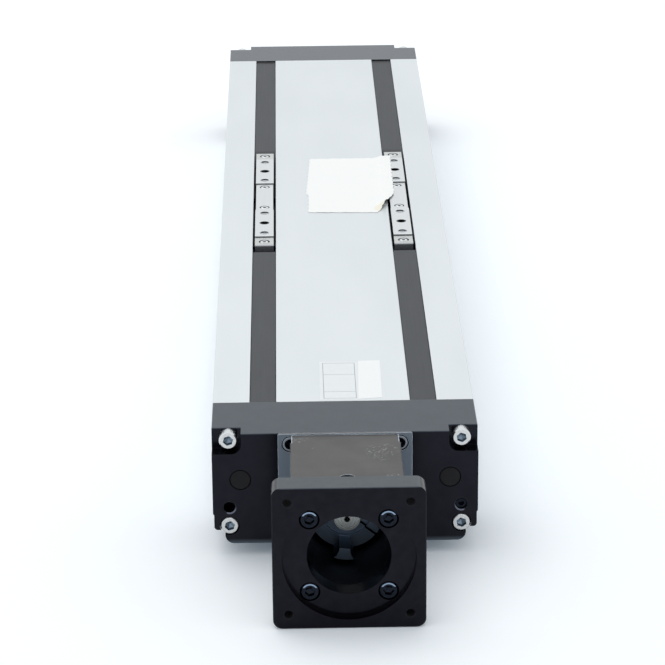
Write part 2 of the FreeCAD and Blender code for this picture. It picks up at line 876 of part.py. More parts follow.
def carriage_body(section, outwards, screw_bore):
    """One half of the carriage: a deck over two runners, two strip tunnels, and the bars above them."""
    outer = section + outwards * section_length / 2
    joint = section - outwards * section_length / 2
    inner = joint - outwards * shelf_length
    y0, y1 = sorted((outer, inner))
    body = along_y(carriage_section_outline(), y0, y1)
    left = slot_centre - bar_width / 2
    right = slot_centre + bar_width / 2
    bar0, bar1 = sorted((outer, joint))
    bar = [
        (bar0, roof_top - bar_root, 0),
        (bar0, bar_top - bar_chamfer, 0),
        (bar0 + bar_chamfer, bar_top, 0),
        (bar1 - bar_chamfer, bar_top, 0),
        (bar1, bar_top - bar_chamfer, 0),
        (bar1, roof_top - bar_root, 0),
    ]
    raised = along_x(bar, left, right)
    shelf = box(left, right, y0, y1, roof_top - bar_root, seat_level)
    tunnel_left = slot_centre - tunnel_width / 2
    tunnel = box(tunnel_left, tunnel_left + tunnel_width, y0, y1, deck_top, tunnel_top)
    for side in (-1, 1):
        for piece in (raised, shelf, carriage_nose(outer, outwards)):
            body = body.fuse(piece if side > 0 else mirrored(piece))
    body = body.cut(both_sides(tunnel))
    body = body.cut(rod_y(0, axis_height, screw_bore, y0, y1))
    for side in (-1, 1):
        x = side * slot_centre
        body = body.cut(rod_z(x, section, carriage_thread_radius, bar_top - carriage_thread_depth, bar_top))
        for step in (-hole_pitch, hole_pitch):
            body = body.cut(rod_z(x, section + step, centring_radius, bar_top - centring_depth, bar_top))
        for y in runner_screw_places(section):
            body = body.cut(rod_z(x, y, m4["thread"] + screw_gap, runner_top - overshoot, deck_top))
            body = body.cut(rod_z(x, y, m4["head"] + sunk_head_gap,
                                  deck_top - m4["height"] - sunk_head_gap, deck_top))
        for y in (guide_screw_place(outer, outwards), link_screw_place(joint, outwards)):
            body = body.cut(rod_z(x, y, m3["thread"] + screw_gap,
                                  seat_level - top_screw_hole, seat_level + overshoot))
    return body.removeSplitter()


def guide_screw_place(outer, outwards):
    return outer + outwards * guide_length * guide_screw_share


def link_screw_place(joint, outwards):
    return joint - outwards * shelf_length / 2


def nut_screw_places():
    places = []
    for angle in (nut_bolt_angle, 180 - nut_bolt_angle, 180 + nut_bolt_angle, -nut_bolt_angle):
        turn = math.radians(angle)
        places.append((nut_bolt_radius * math.cos(turn), axis_height + nut_bolt_radius * math.sin(turn)))
    return places


def drive_carriage():
    body = carriage_body(drive_section, -1, nut_radius + slide_fit)
    face = drive_section - section_length / 2
    for x, z in nut_screw_places():
        body = body.cut(rod_y(x, z, m5["thread"] + screw_gap, face, face + nut_thread_depth))
    return body


def idle_carriage():
    return carriage_body(idle_section, 1, idle_screw_clearance)


def link_plate(side):
    y0 = drive_section + section_length / 2 + link_gap
    y1 = idle_section - section_length / 2 - link_gap
    plate = box(slot_centre - link_width / 2, slot_centre + link_width / 2, y0, y1, seat_level, link_top)
    for y in link_screws_y():
        plate = plate.cut(rod_z(slot_centre, y, m3["thread"] + screw_gap, seat_level, link_top))
        plate = plate.cut(rod_z(slot_centre, y, m3["head"] + head_gap, link_top - m3["height"], link_top))
    return plate if side > 0 else mirrored(plate)


def link_screws_y():
    near = link_screw_place(drive_section + section_length / 2, -1)
    far = link_screw_place(idle_section - section_length / 2, 1)
    return (near, far)


def link_plate_screws():
    return top_screws(link_screws_y())


def top_screws(rows):
    screw = cap_screw(m3, link_thickness - m3["height"] + top_screw_engagement)
    seat = link_top - m3["height"]
    return Part.makeCompound([placed(screw, side * slot_centre, y, seat, v(0, 0, -1))
                              for y in rows for side in (-1, 1)])


def strip_guide_screws():
    near = guide_screw_place(drive_section - section_length / 2, -1)
    far = guide_screw_place(idle_section + section_length / 2, 1)
    return top_screws((near, far))


def strip_guide(side, section, outwards):
    end = section + outwards * section_length / 2
    back = end + outwards * link_gap
    front = end + outwards * guide_length
    lip = front - outwards * guide_lip
    corners = [
        (back, seat_level, 0),
        (back, link_top, 0),
        (front - outwards * bar_chamfer, link_top, 0),
        (front, link_top - bar_chamfer, 0),
        (front, seat_level - guide_lip_drop, 0),
        (lip, seat_level - guide_lip_drop, 0),
        (lip, seat_level, 0),
    ]
    guide = along_x(corners, slot_centre - bar_width / 2, slot_centre + bar_width / 2)
    y = guide_screw_place(end, outwards)
    guide = guide.cut(rod_z(slot_centre, y, m3["thread"] + screw_gap, seat_level, link_top))
    guide = guide.cut(rod_z(slot_centre, y, m3["head"] + head_gap, link_top - m3["height"], link_top))
    return guide if side > 0 else mirrored(guide)


def ball_nut():
    face = drive_section - section_length / 2
    start = face - nut_flange_thickness
    flange = rod_y(0, axis_height, nut_flange_radius, start, face)
    flange = flange.common(box(-nut_flange_radius, nut_flange_radius, start, face,
                               axis_height - nut_flange_flat, axis_height + nut_flange_flat))
    nut = flange.fuse(rod_y(0, axis_height, nut_radius, face, face + nut_length))
    nut = nut.cut(rod_y(0, axis_height, screw_radius + thread_gap, start, face + nut_length))
    for x, z in nut_screw_places():
        nut = nut.cut(rod_y(x, z, m5["thread"] + screw_gap, start, face))
    return nut


def ball_nut_screws():
    seat = drive_section - section_length / 2 - nut_flange_thickness
    screw = cap_screw(m5, nut_flange_thickness + nut_screw_engagement)
    return Part.makeCompound([placed(screw, x, seat, z, v(0, 1, 0)) for x, z in nut_screw_places()])


def ball_screw():
    journal_end = hub_face + journal_recess
    ring_start = idle_bearing_start + idle_bearing_width
    shaft = turned([
        (journal_end, journal_radius - journal_lead_depth),
        (journal_end + journal_lead, journal_radius),
        (hub_back + fixed_seat_lead, fixed_seat_radius),
        (fixed_bearing_end, screw_radius),
        (profile_end + idle_seat_start, idle_seat_radius),
        (ring_start, idle_seat_radius - ring_groove_depth),
        (ring_start + ring_thickness, idle_seat_radius),
        (profile_end + idle_journal_end, 0),
    ])
    drill = Part.makeCone(centre_drill_radius, centre_drill_tip, centre_drill_depth,
                          v(0, journal_end, axis_height), v(0, 1, 0))
    return shaft.cut(drill)


def fixed_bearing_outer_ring():
    return tube_y(fixed_bearing_radius, fixed_race_radius + race_gap,
                  fixed_bearing_start, fixed_bearing_end)


def fixed_bearing_inner_ring():
    return tube_y(fixed_race_radius, fixed_seat_radius + slide_fit, fixed_bearing_start, fixed_bearing_end)


def bearing_retainer():
    ring = tube_y(fixed_bearing_radius - slide_fit, retainer_bore,
                  fixed_bearing_start - retainer_thickness, fixed_bearing_start)
    slot_radius = (fixed_bearing_radius + retainer_bore) / 2
    for angle in (0, 90, 180, 270):
        turn = math.radians(angle)
        x = slot_radius * math.cos(turn)
        z = axis_height + slot_radius * math.sin(turn)
        pin = rod_y(x, z, retainer_hole_radius, fixed_bearing_start - retainer_thickness,
                    fixed_bearing_start - retainer_thickness / 2)
        ring = ring.cut(pin)
    return ring


def lock_nut():
    start = fixed_bearing_start - lock_nut_width
    nut = tube_y(lock_nut_radius, fixed_seat_radius + slide_fit, start, fixed_bearing_start)
    for angle in (45, 135, 225, 315):
        slot = box(lock_nut_radius - lock_slot_depth, lock_nut_radius + overshoot,
                   start, start + lock_nut_width / 2, -lock_slot_half_width, lock_slot_half_width)
        slot.rotate(v(0, 0, 0), v(0, 1, 0), angle)
        slot.translate(v(0, 0, axis_height))
        nut = nut.cut(slot)
    return nut


def floating_bearing_outer_ring():
    end = idle_bearing_start + idle_bearing_width
    return tube_y(idle_bearing_radius, idle_race_radius + race_gap, idle_bearing_start, end)


def floating_bearing_inner_ring():
    end = idle_bearing_start + idle_bearing_width
    return tube_y(idle_race_radius, idle_seat_radius + slide_fit, idle_bearing_start, end)


def retaining_ring():
    start = idle_bearing_start + idle_bearing_width
    ring = tube_y(ring_radius, idle_seat_radius - ring_bite, start, start + ring_thickness)
    mouth = box(-ring_mouth_half_width, ring_mouth_half_width, start, start + ring_thickness,
                axis_height - ring_radius - overshoot, axis_height)
    return ring.cut(mouth)


def jaw(angle):
    """One claw of the hub: hollow flanks between a flat inner end and the rim."""
    middle = (jaw_inner_radius + hub_radius) / 2
    half_widths = ((jaw_inner_radius, jaw_inner_half_width), (middle, jaw_middle_half_width),
                   (hub_radius, jaw_outer_half_width))
    low = [v(reach, hub_face, -half) for reach, half in half_widths]
    high = [v(reach, hub_face, half) for reach, half in half_widths]
    edges = [
        Part.LineSegment(high[0], low[0]).toShape(),
        Part.Arc(*low).toShape(),
        Part.LineSegment(low[2], high[2]).toShape(),
        Part.Arc(*high).toShape(),
    ]
    claw = Part.Face(Part.Wire(Part.__sortEdges__(edges))).extrude(v(0, jaw_height, 0))
    claw.rotate(v(0, 0, 0), v(0, 1, 0), -angle)
    claw.translate(v(0, 0, axis_height))
    return claw.common(rod_y(0, axis_height, hub_radius, hub_face, hub_face + jaw_height))


def clamp_screw_place():
    turn = math.radians(clamp_slit_angle)
    centre = v(clamp_screw_radius * math.cos(turn), hub_back - clamp_screw_setback,
               axis_height + clamp_screw_radius * math.sin(turn))
    across = v(-math.sin(turn), 0, math.cos(turn))
    return centre, across


def coupling_hub():
    web = hub_face + jaw_height
    hub = rod_y(0, axis_height, hub_radius, web, hub_back)
    for i in range(jaw_count):
        hub = hub.fuse(jaw(jaw_first_angle + i * 360 / jaw_count))
    hub = hub.cut(rod_y(0, axis_height, hub_recess_radius, web, web + hub_recess_depth))
    hub = hub.cut(rod_y(0, axis_height, journal_radius + slide_fit, web, hub_back))
    hub = hub.cut(Part.makeCone(journal_radius + hub_bore_chamfer, journal_radius, hub_bore_chamfer,
                                v(0, web + hub_recess_depth, axis_height), v(0, 1, 0)))
    slit = box(journal_radius - overshoot, hub_radius + overshoot, hub_face, hub_back,
               -clamp_slit / 2, clamp_slit / 2)
    slit.rotate(v(0, 0, 0), v(0, 1, 0), -clamp_slit_angle)
    slit.translate(v(0, 0, axis_height))
    hub = hub.cut(slit)
    centre, across = clamp_screw_place()
    hole = Part.makeCylinder(m4["thread"] + screw_gap, 4 * hub_radius,
                             centre - across * 2 * hub_radius, across)
    seat = Part.makeCylinder(m4["head"] + clamp_head_gap, 2 * hub_radius,
                             centre + across * clamp_seat_offset, across)
    return hub.cut(hole).cut(seat)


def coupling_clamp_screw():
    centre, across = clamp_screw_place()
    seat = centre + across * clamp_seat_offset
    return placed(cap_screw(m4, clamp_screw_length), seat.x, seat.y, seat.z, across * -1)


def motor_mount_housing():
    lip_face = drive_face - mount_plate_proud
    half = mount_box_width / 2
    plate_half = mount_plate_width / 2
    box_corners = rounded_rectangle(half, mount_box_bottom, mount_box_top, mount_box_round)
    plate_corners = rounded_rectangle(plate_half, mount_plate_bottom, body_height, mount_plate_round)
    housing = along_y(box_corners, flange_rear, lip_face)
    places = end_groups(mount_screw_top, mount_screw_bottom, mount_screw_x)
    for x, z in places:
        start = lip_face - screw_relief_straight
        housing = housing.cut(rod_y(x, z, screw_relief_radius, start, lip_face))
        housing = housing.cut(Part.makeCone(screw_relief_tip, screw_relief_radius, screw_relief_taper,
                                            v(x, start - screw_relief_taper, z), v(0, 1, 0)))
    housing = housing.fuse(along_y(plate_corners, lip_face, drive_face))
    housing = housing.fuse(spigot(mount_spigot_width, mount_spigot_bottom, mount_spigot_top,
                                  drive_face, drive_face + mount_spigot_depth, 0))
    spigot_end = drive_face + mount_spigot_depth
    housing = housing.cut(rod_y(0, axis_height, mount_bore_radius, flange_rear, spigot_end))
    for x, z in places:
        housing = housing.cut(rod_y(x, z, m5["thread"] + screw_gap, lip_face, spigot_end))
        housing = housing.cut(rod_y(x, z, m5["head"] + head_gap, lip_face, lip_face + m5["height"]))
    for x, z in flange_screw_places():
        housing = housing.cut(rod_y(x, z, m6["thread"] + screw_gap,
                                    flange_rear, flange_rear + flange_thread_depth))
    housing = housing.cut(rod_z(0, motor_face + access_hole_setback, access_hole_radius,
                                axis_height, mount_box_top))
    return housing.removeSplitter()


def flange_screw_places():
    half = flange_screw_spacing / 2
    return [(sx * half, axis_height + sz * half) for sx in (-1, 1) for sz in (-1, 1)]


def motor_mount_flange():
    half = flange_size / 2
    low = axis_height - half
    high = axis_height + half
    flange = along_y(rounded_rectangle(half, low, high, flange_corner_round), motor_face, flange_rear)
    rims = [e for e in flange.Edges
            if all(abs(p.Y - motor_face) < 1e-6 or abs(p.Y - flange_rear) < 1e-6 for p in e.Vertexes)
            and abs(e.Vertexes[0].Y - e.Vertexes[-1].Y) < 1e-6]
    flange = flange.makeChamfer(flange_edge_chamfer, rims)
    flange = flange.cut(rod_y(0, axis_height, pilot_radius, motor_face, motor_face + pilot_depth))
    flange = flange.cut(rod_y(0, axis_height, mount_bore_radius, motor_face, flange_rear))
    seat = motor_face + pilot_depth + m6["height"]
    for x, z in flange_screw_places():
        flange = flange.cut(rod_y(x, z, m6["head"] + head_gap, motor_face, seat))
        flange = flange.cut(rod_y(x, z, m6["thread"] + screw_gap, motor_face, flange_rear))
    reach = motor_bolt_spacing / 2
    for sx in (-1, 1):
        for sz in (-1, 1):
            flange = flange.cut(rod_y(sx * reach, axis_height + sz * reach, motor_thread_radius,
                                      motor_face, flange_rear))
    return flange


def motor_flange_screws():
    seat = motor_face + pilot_depth + m6["height"]
    screw = cap_screw(m6, flange_rear - seat + flange_screw_engagement)
    return Part.makeCompound([placed(screw, x, seat, z, v(0, 1, 0)) for x, z in flange_screw_places()])


def motor_mount_screws():
    seat = drive_face - mount_plate_proud + m5["height"]
    screw = cap_screw(m5, drive_face + mount_spigot_depth - seat + mount_screw_engagement)
    places = end_groups(mount_screw_top, mount_screw_bottom, mount_screw_x)
    return Part.makeCompound([placed(screw, x, seat, z, v(0, 1, 0)) for x, z in places])


def block_screws(face, inwards, block_length):
    screws = []
    for x, z in end_groups(block_screw_top, block_screw_bottom, block_screw_x):
        setback = notch_depth if z == block_screw_top else m6["height"]
        screw = cap_screw(m6, block_length - setback + block_screw_engagement)
        screws.append(placed(screw, x, face + inwards * setback, z, v(0, inwards, 0)))
    return Part.makeCompound(screws)


def drive_end_screws():
    return block_screws(drive_face, 1, drive_block_length)


def idle_end_screws():
    return block_screws(idle_face, -1, idle_block_length)


def cover_plate_screws():
    screws = []
    room = m4["height"] + cover_screw_room
    for seat, inwards in ((drive_pocket_floor + room, 1), (idle_pocket_floor - room, -1)):
        reach = abs(seat) - profile_end + cover_screw_engagement
        for side in (-1, 1):
            x = side * cover_boss_spacing / 2
            screws.append(placed(cap_screw(m4, reach), x, seat, cover_boss_height, v(0, inwards, 0)))
    return Part.makeCompound(screws)


def drive_end_plugs():
    start = drive_face + plug_setback
    return both_sides(rod_y(plug_x, plug_height, plug_radius - plug_gap, start, start + plug_length))


def lube_port_screw():
    start = drive_face + lube_screw_setback
    plug = rod_y(lube_port_x, lube_port_height, lube_port_radius - screw_gap,
                 start, start + lube_screw_length)
    key = hexagon_key(lube_screw_key, lube_screw_key_depth, 0)
    return plug.cut(placed(key, lube_port_x, start, lube_port_height, v(0, 1, 0)))


def idle_end_cover():
    half = end_cover_width / 2
    outer = idle_face + end_cover_proud
    corners = rounded_rectangle(half, end_cover_bottom, end_cover_top, end_cover_round)
    cover = along_y(corners, idle_face, outer)
    inner = idle_face - end_spigot_depth
    cover = cover.fuse(spigot(end_spigot_width, end_spigot_bottom, end_spigot_top, inner, idle_face, 0))
    for x, z in end_groups(end_cover_screw_top, end_cover_screw_bottom, end_cover_screw_x):
        cover = cover.cut(rod_y(x, z, m5["thread"] + screw_gap, inner, outer))
        cover = cover.cut(rod_y(x, z, m5["head"] + head_gap, outer - m5["height"], outer))
    return cover.removeSplitter()


def idle_end_cover_screws():
    seat = idle_face + end_cover_proud - m5["height"]
    screw = cap_screw(m5, seat - idle_pocket_floor + end_cover_screw_engagement)
    places = end_groups(end_cover_screw_top, end_cover_screw_bottom, end_cover_screw_x)
    return Part.makeCompound([placed(screw, x, seat, z, v(0, -1, 0)) for x, z in places])


def bumper(end):
    """A rubber buffer with a threaded stud moulded into its back."""
    face = end * profile_end
    y0, y1 = sorted((face, face - end * bumper_length))
    s0, s1 = sorted((face, face + end * bumper_stud))
    body = rod_y(bumper_x, bumper_height, bumper_radius, y0, y1)
    return body.fuse(rod_y(bumper_x, bumper_height, m4["thread"], s0, s1))


def end_bumpers():
    return Part.makeCompound([both_sides(bumper(-1)), both_sides(bumper(1))])


def side_switch(start, length):
    """A switch housing clipped to the left side, with a foot in the sensor groove."""
    half = switch_height / 2
    mouth = sensor_mouth / 2 - switch_foot_gap
    foot = -half_width + sensor_skin + switch_foot_depth
    corners = [
        (-half_width, sensor_groove_height - half, 0),
        (-half_width, sensor_groove_height - mouth, 0),
        (foot, sensor_groove_height - mouth, 0),
        (foot, sensor_groove_height + mouth, 0),
        (-half_width, sensor_groove_height + mouth, 0),
        (-half_width, sensor_groove_height + half, 0),
        (-half_width - switch_proud, sensor_groove_height + half, switch_round),
        (-half_width - switch_proud, sensor_groove_height - half, switch_round),
    ]
    return along_y(corners, start, start + length)


def build():
    parts = {
        "main_profile": main_profile(),
        "cover_plate": cover_plate(),
        "drive_end_block": drive_end_block(),
        "idle_end_block": idle_end_block(),
        "left_sealing_strip": sealing_strip(-1),
        "right_sealing_strip": sealing_strip(1),
        "strip_clamps": strip_clamps(),
        "strip_clamp_screws": strip_clamp_screws(),
        "left_guide_rail": guide_rail(-1),
        "right_guide_rail": guide_rail(1),
        "motor_mount_housing": motor_mount_housing(),
        "motor_mount_flange": motor_mount_flange(),
        "motor_mount_screws": motor_mount_screws(),
        "motor_flange_screws": motor_flange_screws(),
        "drive_end_screws": drive_end_screws(),
        "idle_end_screws": idle_end_screws(),
        "cover_plate_screws": cover_plate_screws(),
        "drive_end_plugs": drive_end_plugs(),
        "lube_port_screw": lube_port_screw(),
        "fixed_bearing_outer_ring": fixed_bearing_outer_ring(),
        "bearing_retainer": bearing_retainer(),
        "floating_bearing_outer_ring": floating_bearing_outer_ring(),
        "idle_end_cover": idle_end_cover(),
        "idle_end_cover_screws": idle_end_cover_screws(),
        "end_bumpers": end_bumpers(),
        "reference_switch": side_switch(reference_switch_start, reference_switch_length),
        "limit_switch": side_switch(limit_switch_start, limit_switch_length),
        "drive_carriage": drive_carriage(),
        "idle_carriage": idle_carriage(),
        "link_plate_screws": link_plate_screws(),
        "strip_guide_screws": strip_guide_screws(),
        "runner_end_caps": runner_end_caps(),
        "runner_screws": runner_screws(),
        "ball_nut": ball_nut(),
        "ball_nut_screws": ball_nut_screws(),
        "ball_screw": ball_screw(),
        "fixed_bearing_inner_ring": fixed_bearing_inner_ring(),
        "lock_nut": lock_nut(),
        "floating_bearing_inner_ring": floating_bearing_inner_ring(),
        "retaining_ring": retaining_ring(),
        "coupling_hub": coupling_hub(),
        "coupling_clamp_screw": coupling_clamp_screw(),
    }
    for name, side in (("left", -1), ("right", 1)):
        parts[name + "_link_plate"] = link_plate(side)
        for row, section, outwards in (("front", drive_section, -1), ("rear", idle_section, 1)):
            parts[row + "_" + name + "_strip_guide"] = strip_guide(side, section, outwards)
            parts[row + "_" + name + "_runner_block"] = runner_block(side, section)
    return parts


def main():
    os.makedirs("parts", exist_ok=True)
    for name, shape in build().items():
        shape.exportStep("parts/" + name + ".step")
        print(name, len(shape.Solids), "valid" if shape.isValid() else "INVALID", round(shape.Volume))


main()
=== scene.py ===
import math

import bmesh
import bpy
from mathutils import Matrix, Vector


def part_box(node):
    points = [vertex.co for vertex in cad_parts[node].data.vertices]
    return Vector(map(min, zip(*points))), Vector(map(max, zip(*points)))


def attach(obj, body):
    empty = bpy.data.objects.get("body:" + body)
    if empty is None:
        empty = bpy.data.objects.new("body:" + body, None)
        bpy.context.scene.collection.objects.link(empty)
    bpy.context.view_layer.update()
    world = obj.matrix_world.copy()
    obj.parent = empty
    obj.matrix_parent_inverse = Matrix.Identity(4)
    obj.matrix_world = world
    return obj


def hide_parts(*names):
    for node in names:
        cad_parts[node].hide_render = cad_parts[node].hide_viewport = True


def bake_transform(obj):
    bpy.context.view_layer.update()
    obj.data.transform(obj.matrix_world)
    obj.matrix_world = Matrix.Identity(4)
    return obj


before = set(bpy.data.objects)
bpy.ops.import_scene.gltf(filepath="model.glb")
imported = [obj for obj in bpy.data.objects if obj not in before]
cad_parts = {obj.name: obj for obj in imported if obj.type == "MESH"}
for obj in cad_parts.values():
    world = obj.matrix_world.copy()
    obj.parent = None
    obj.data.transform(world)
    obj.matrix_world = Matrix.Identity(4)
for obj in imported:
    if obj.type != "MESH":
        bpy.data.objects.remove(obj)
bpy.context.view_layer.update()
MM = 0.001


# The extruded body and its cover
# One long aluminium extrusion with two slots in its top, and a flat cover between them.
# Both are anodised natural silver, so fine die lines run along the whole length.


class Signal:
    """One output of a node. Arithmetic, abs and comparisons on it add Math nodes."""

    def __init__(self, wiring, socket):
        self.wiring = wiring
        self.socket = socket

    def math(self, operation, first, second=0.0):
        return self.wiring.node("ShaderNodeMath", {"operation": operation}, {0: first, 1: second})

    def __add__(self, other):
        return self.math("ADD", self, other)

    def __mul__(self, other):
        return self.math("MULTIPLY", self, other)

    def __sub__(self, other):
        return self.math("SUBTRACT", self, other)

    def __rsub__(self, other):
        return self.math("SUBTRACT", other, self)

    def __abs__(self):
        return self.math("ABSOLUTE", self)

    def __truediv__(self, other):
        return self.math("DIVIDE", self, other)

    def __pow__(self, other):
        return self.math("POWER", self, other)

    def __gt__(self, other):
        return self.math("GREATER_THAN", self, other)

    def __lt__(self, other):
        return self.math("LESS_THAN", self, other)

    __radd__ = __add__
    __rmul__ = __mul__


class Wiring:
    """A node tree that is wired up one node at a time."""

    def __init__(self, tree):
        self.tree = tree

    def node(self, kind, settings, inputs, output=0):
        made = self.tree.nodes.new(kind)
        for name, value in settings.items():
            setattr(made, name, value)
        for name, value in inputs.items():
            self.feed(made.inputs[name], value)
        return Signal(self, made.outputs[output])

    def feed(self, socket, value):
        if isinstance(value, Signal):
            self.tree.links.new(value.socket, socket)
        else:
            socket.default_value = value


class Finish(Wiring):
    """A surface finish under its own name. Sizes of its patterns are in millimetres of the object."""

    def __init__(self, name, metallic=0.0, specular=0.5):
        self.material = bpy.data.materials.new(name)
        self.material.use_nodes = True
        super().__init__(self.material.node_tree)
        self.shader = self.tree.nodes["Principled BSDF"]
        self.set("Metallic", metallic)
        self.set("Specular IOR Level", specular)

    def set(self, socket, value):
        self.feed(self.shader.inputs[socket], value)

    def place(self, centre=(0, 0, 0)):
        point = self.node("ShaderNodeTexCoord", {}, {}, "Object")
        if centre == (0, 0, 0):
            return point
        return self.node("ShaderNodeMapping", {}, {"Vector": point, "Location": [-c * MM for c in centre]})

    def grain(self, across, along, up, detail=2.0, rough=0.5):
        """Noise from 0 to 1 whose spots have these sizes along X, Y and Z."""
        scale = [1 / (size * MM) for size in (across, along, up)]
        placed = self.node("ShaderNodeMapping", {}, {"Vector": self.place(), "Scale": scale})
        return self.node("ShaderNodeTexNoise", {},
                         {"Vector": placed, "Scale": 1.0, "Detail": detail, "Roughness": rough})

    def rings(self, centre, spacing, detail=2.0):
        """Turning marks about a line along Y through the centre."""
        placed = self.place(centre)
        flat = self.node("ShaderNodeVectorMath", {"operation": "MULTIPLY"}, {0: placed, 1: (1, 0, 1)})
        radius = self.node("ShaderNodeVectorMath", {"operation": "LENGTH"}, {0: flat}, "Value")
        return self.node("ShaderNodeTexNoise", {"noise_dimensions": "1D"},
                         {"W": radius / (spacing * MM), "Scale": 1.0, "Detail": detail})

    def along(self, axis):
        """The distance from the object's origin along X, Y or Z."""
        return self.node("ShaderNodeSeparateXYZ", {}, {0: self.place()}, axis)

    def facing(self, axis):
        """How far the surface faces along X, Y or Z, from -1 to 1."""
        return self.node("ShaderNodeSeparateXYZ", {},
                         {0: self.node("ShaderNodeNewGeometry", {}, {}, "Normal")}, axis)

    def blended(self, mask, low, high):
        """A colour signal that goes from the signal low to the signal high with the mask."""
        return self.node("ShaderNodeMix", {"data_type": "RGBA"}, {0: mask, 6: low, 7: high}, 2)

    def mixed(self, mask, low, high):
        """A colour signal that goes from the signal low to the plain colour high with the mask."""
        return self.blended(mask, low, (*high, 1.0))

    def between(self, mask, low, high):
        """A colour that goes from low to high with the mask."""
        return self.mixed(mask, (*low, 1.0), high)

    def soft_edge(self, radius):
        """The surface direction with every sharp edge rounded over this radius."""
        return self.node("ShaderNodeBevel", {"samples": 4}, {"Radius": radius * MM})

    def relief(self, height, depth, edge=0.0):
        """Raises the surface by the height signal, over softened edges where an edge radius is given."""
        inputs = {"Height": height, "Distance": depth * MM}
        if edge:
            inputs["Normal"] = self.soft_edge(edge)
        self.set("Normal", self.node("ShaderNodeBump", {}, inputs))

    def worn_and_lit_edges(self, radius):
        """A mask of the places where an edge, rounded over the radius, turns away from its faces."""
        least_agreement = 0.93
        flat = self.node("ShaderNodeNewGeometry", {}, {}, "Normal")
        agreement = self.node("ShaderNodeVectorMath", {"operation": "DOT_PRODUCT"},
                              {0: flat, 1: self.soft_edge(radius)}, "Value")
        return agreement < least_agreement

    def dress(self, *names):
        for name in names:
            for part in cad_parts[name].material_slots:
                part.material = self.material


silver = Finish("silver_anodised", metallic=1.0)
die_lines = silver.grain(0.35, 260, 0.35, detail=4.0, rough=0.6)
clouds = silver.grain(38, 120, 38)
silver.set("Base Color", silver.between(clouds, (0.70, 0.73, 0.755), (0.775, 0.80, 0.815)))
silver.set("Roughness", 0.33 + die_lines * 0.12)
silver.relief(die_lines, 0.006, edge=0.25)
silver.dress("main_profile", "cover_plate")


# The two end blocks
# Solid aluminium blocks, sawn and milled, then anodised dark grey; they close the extrusion.
# The milling cutter has left faint arcs, and the edges are lightly broken.

anodised = 0.96
port_rim = {"x": 63.4, "z": 21.2, "inner": 2.98, "outer": 3.68, "tone": (0.12, 0.13, 0.17)}
# Painted shade: a near-black ring around each plug on the motor face stands for the shadow in its gap.
plug_gap_shade = {"x": 57.2, "z": 37.8, "inner": 5.5, "outer": 5.95, "tone": (0.001, 0.001, 0.001)}
motor_side_y = -394.25
floor_reflection_height = 2.6
block_sheen_from_z = 64.5


def from_point(across, along):
    """The distance from the point at which both signals are zero."""
    return (across ** 2 + along ** 2) ** 0.5


dark_block = Finish("dark_anodised", metallic=anodised)
cutter = dark_block.rings((0, 0, 260), 0.9, detail=3.0)
haze = dark_block.grain(9, 9, 9, detail=4.0, rough=0.65)
block_tone = dark_block.between(haze, (0.011, 0.0115, 0.017), (0.022, 0.0225, 0.03))
for ring in (port_rim, plug_gap_shade):
    sideways = abs(dark_block.along("X")) - ring["x"] * MM
    reach = from_point(sideways, dark_block.along("Z") - ring["z"] * MM)
    on_ring = (reach > ring["inner"] * MM) * (reach < ring["outer"] * MM)
    on_ring = on_ring * (dark_block.along("Y") < motor_side_y * MM)
    block_tone = dark_block.mixed(on_ring, block_tone, ring["tone"])
# Painted reflection: the lowest 2.6 mm of the blocks turns bluish grey, standing in for the floor mirrored
# in their foot.
painted_floor_reflection = (floor_reflection_height * MM - dark_block.along("Z")) / (floor_reflection_height * MM)
block_tone = dark_block.mixed(painted_floor_reflection, block_tone, (0.10, 0.125, 0.15))
# Painted sheen: everything of the blocks above this level is lighter and bluer, standing in for the bright
# sky mirrored in their tops.
block_top_sheen = dark_block.between(haze, (0.045, 0.055, 0.072), (0.075, 0.086, 0.104))
on_top = dark_block.along("Z") > block_sheen_from_z * MM
dark_block.set("Base Color", dark_block.blended(on_top, block_tone, block_top_sheen))
dark_block.set("Roughness", 0.14 + haze * 0.08 + cutter * 0.04)
dark_block.relief(cutter * 0.6 + haze, 0.006, edge=0.35)
dark_block.dress("drive_end_block", "idle_end_block")


# The sealing strips
# Two long polyurethane strips lie in the slots, and dip beneath the bars of the carriage.
# The flat runs are clamped at the ends of the body, and the dip travels with the carriage.

end_shadow_from_y = 344.0
strip_finish = Finish("grey_strip", specular=0.4)
scuffs = strip_finish.grain(0.5, 90, 4, detail=4.0, rough=0.6)
dust = strip_finish.grain(6, 22, 6, detail=5.0, rough=0.7)
strip_tone = strip_finish.between(dust, (0.028, 0.0305, 0.036), (0.046, 0.049, 0.055))
# Painted shadow: the strips are near black over their last stretch before the far end block.
painted_end_shadow = strip_finish.along("Y") > end_shadow_from_y * MM
strip_tone = strip_finish.mixed(painted_end_shadow, strip_tone, (0.004, 0.004, 0.006))
strip_finish.set("Base Color", strip_tone)
strip_finish.set("Roughness", 0.44 + scuffs * 0.16)
strip_finish.relief(scuffs, 0.01)
strip_thickness = 1.0 * MM
strip_edge = 0.2 * MM
ramp_steps = 12


def strip_section(box):
    """The strip's cross-section as offsets (x, depth below its top), its edges lightly rounded."""
    left, right = box[0].x, box[1].x
    return [
        (left, strip_edge),
        (left + strip_edge, 0),
        (right - strip_edge, 0),
        (right, strip_edge),
        (right, strip_thickness - strip_edge),
        (right - strip_edge, strip_thickness),
        (left + strip_edge, strip_thickness),
        (left, strip_thickness - strip_edge),
    ]


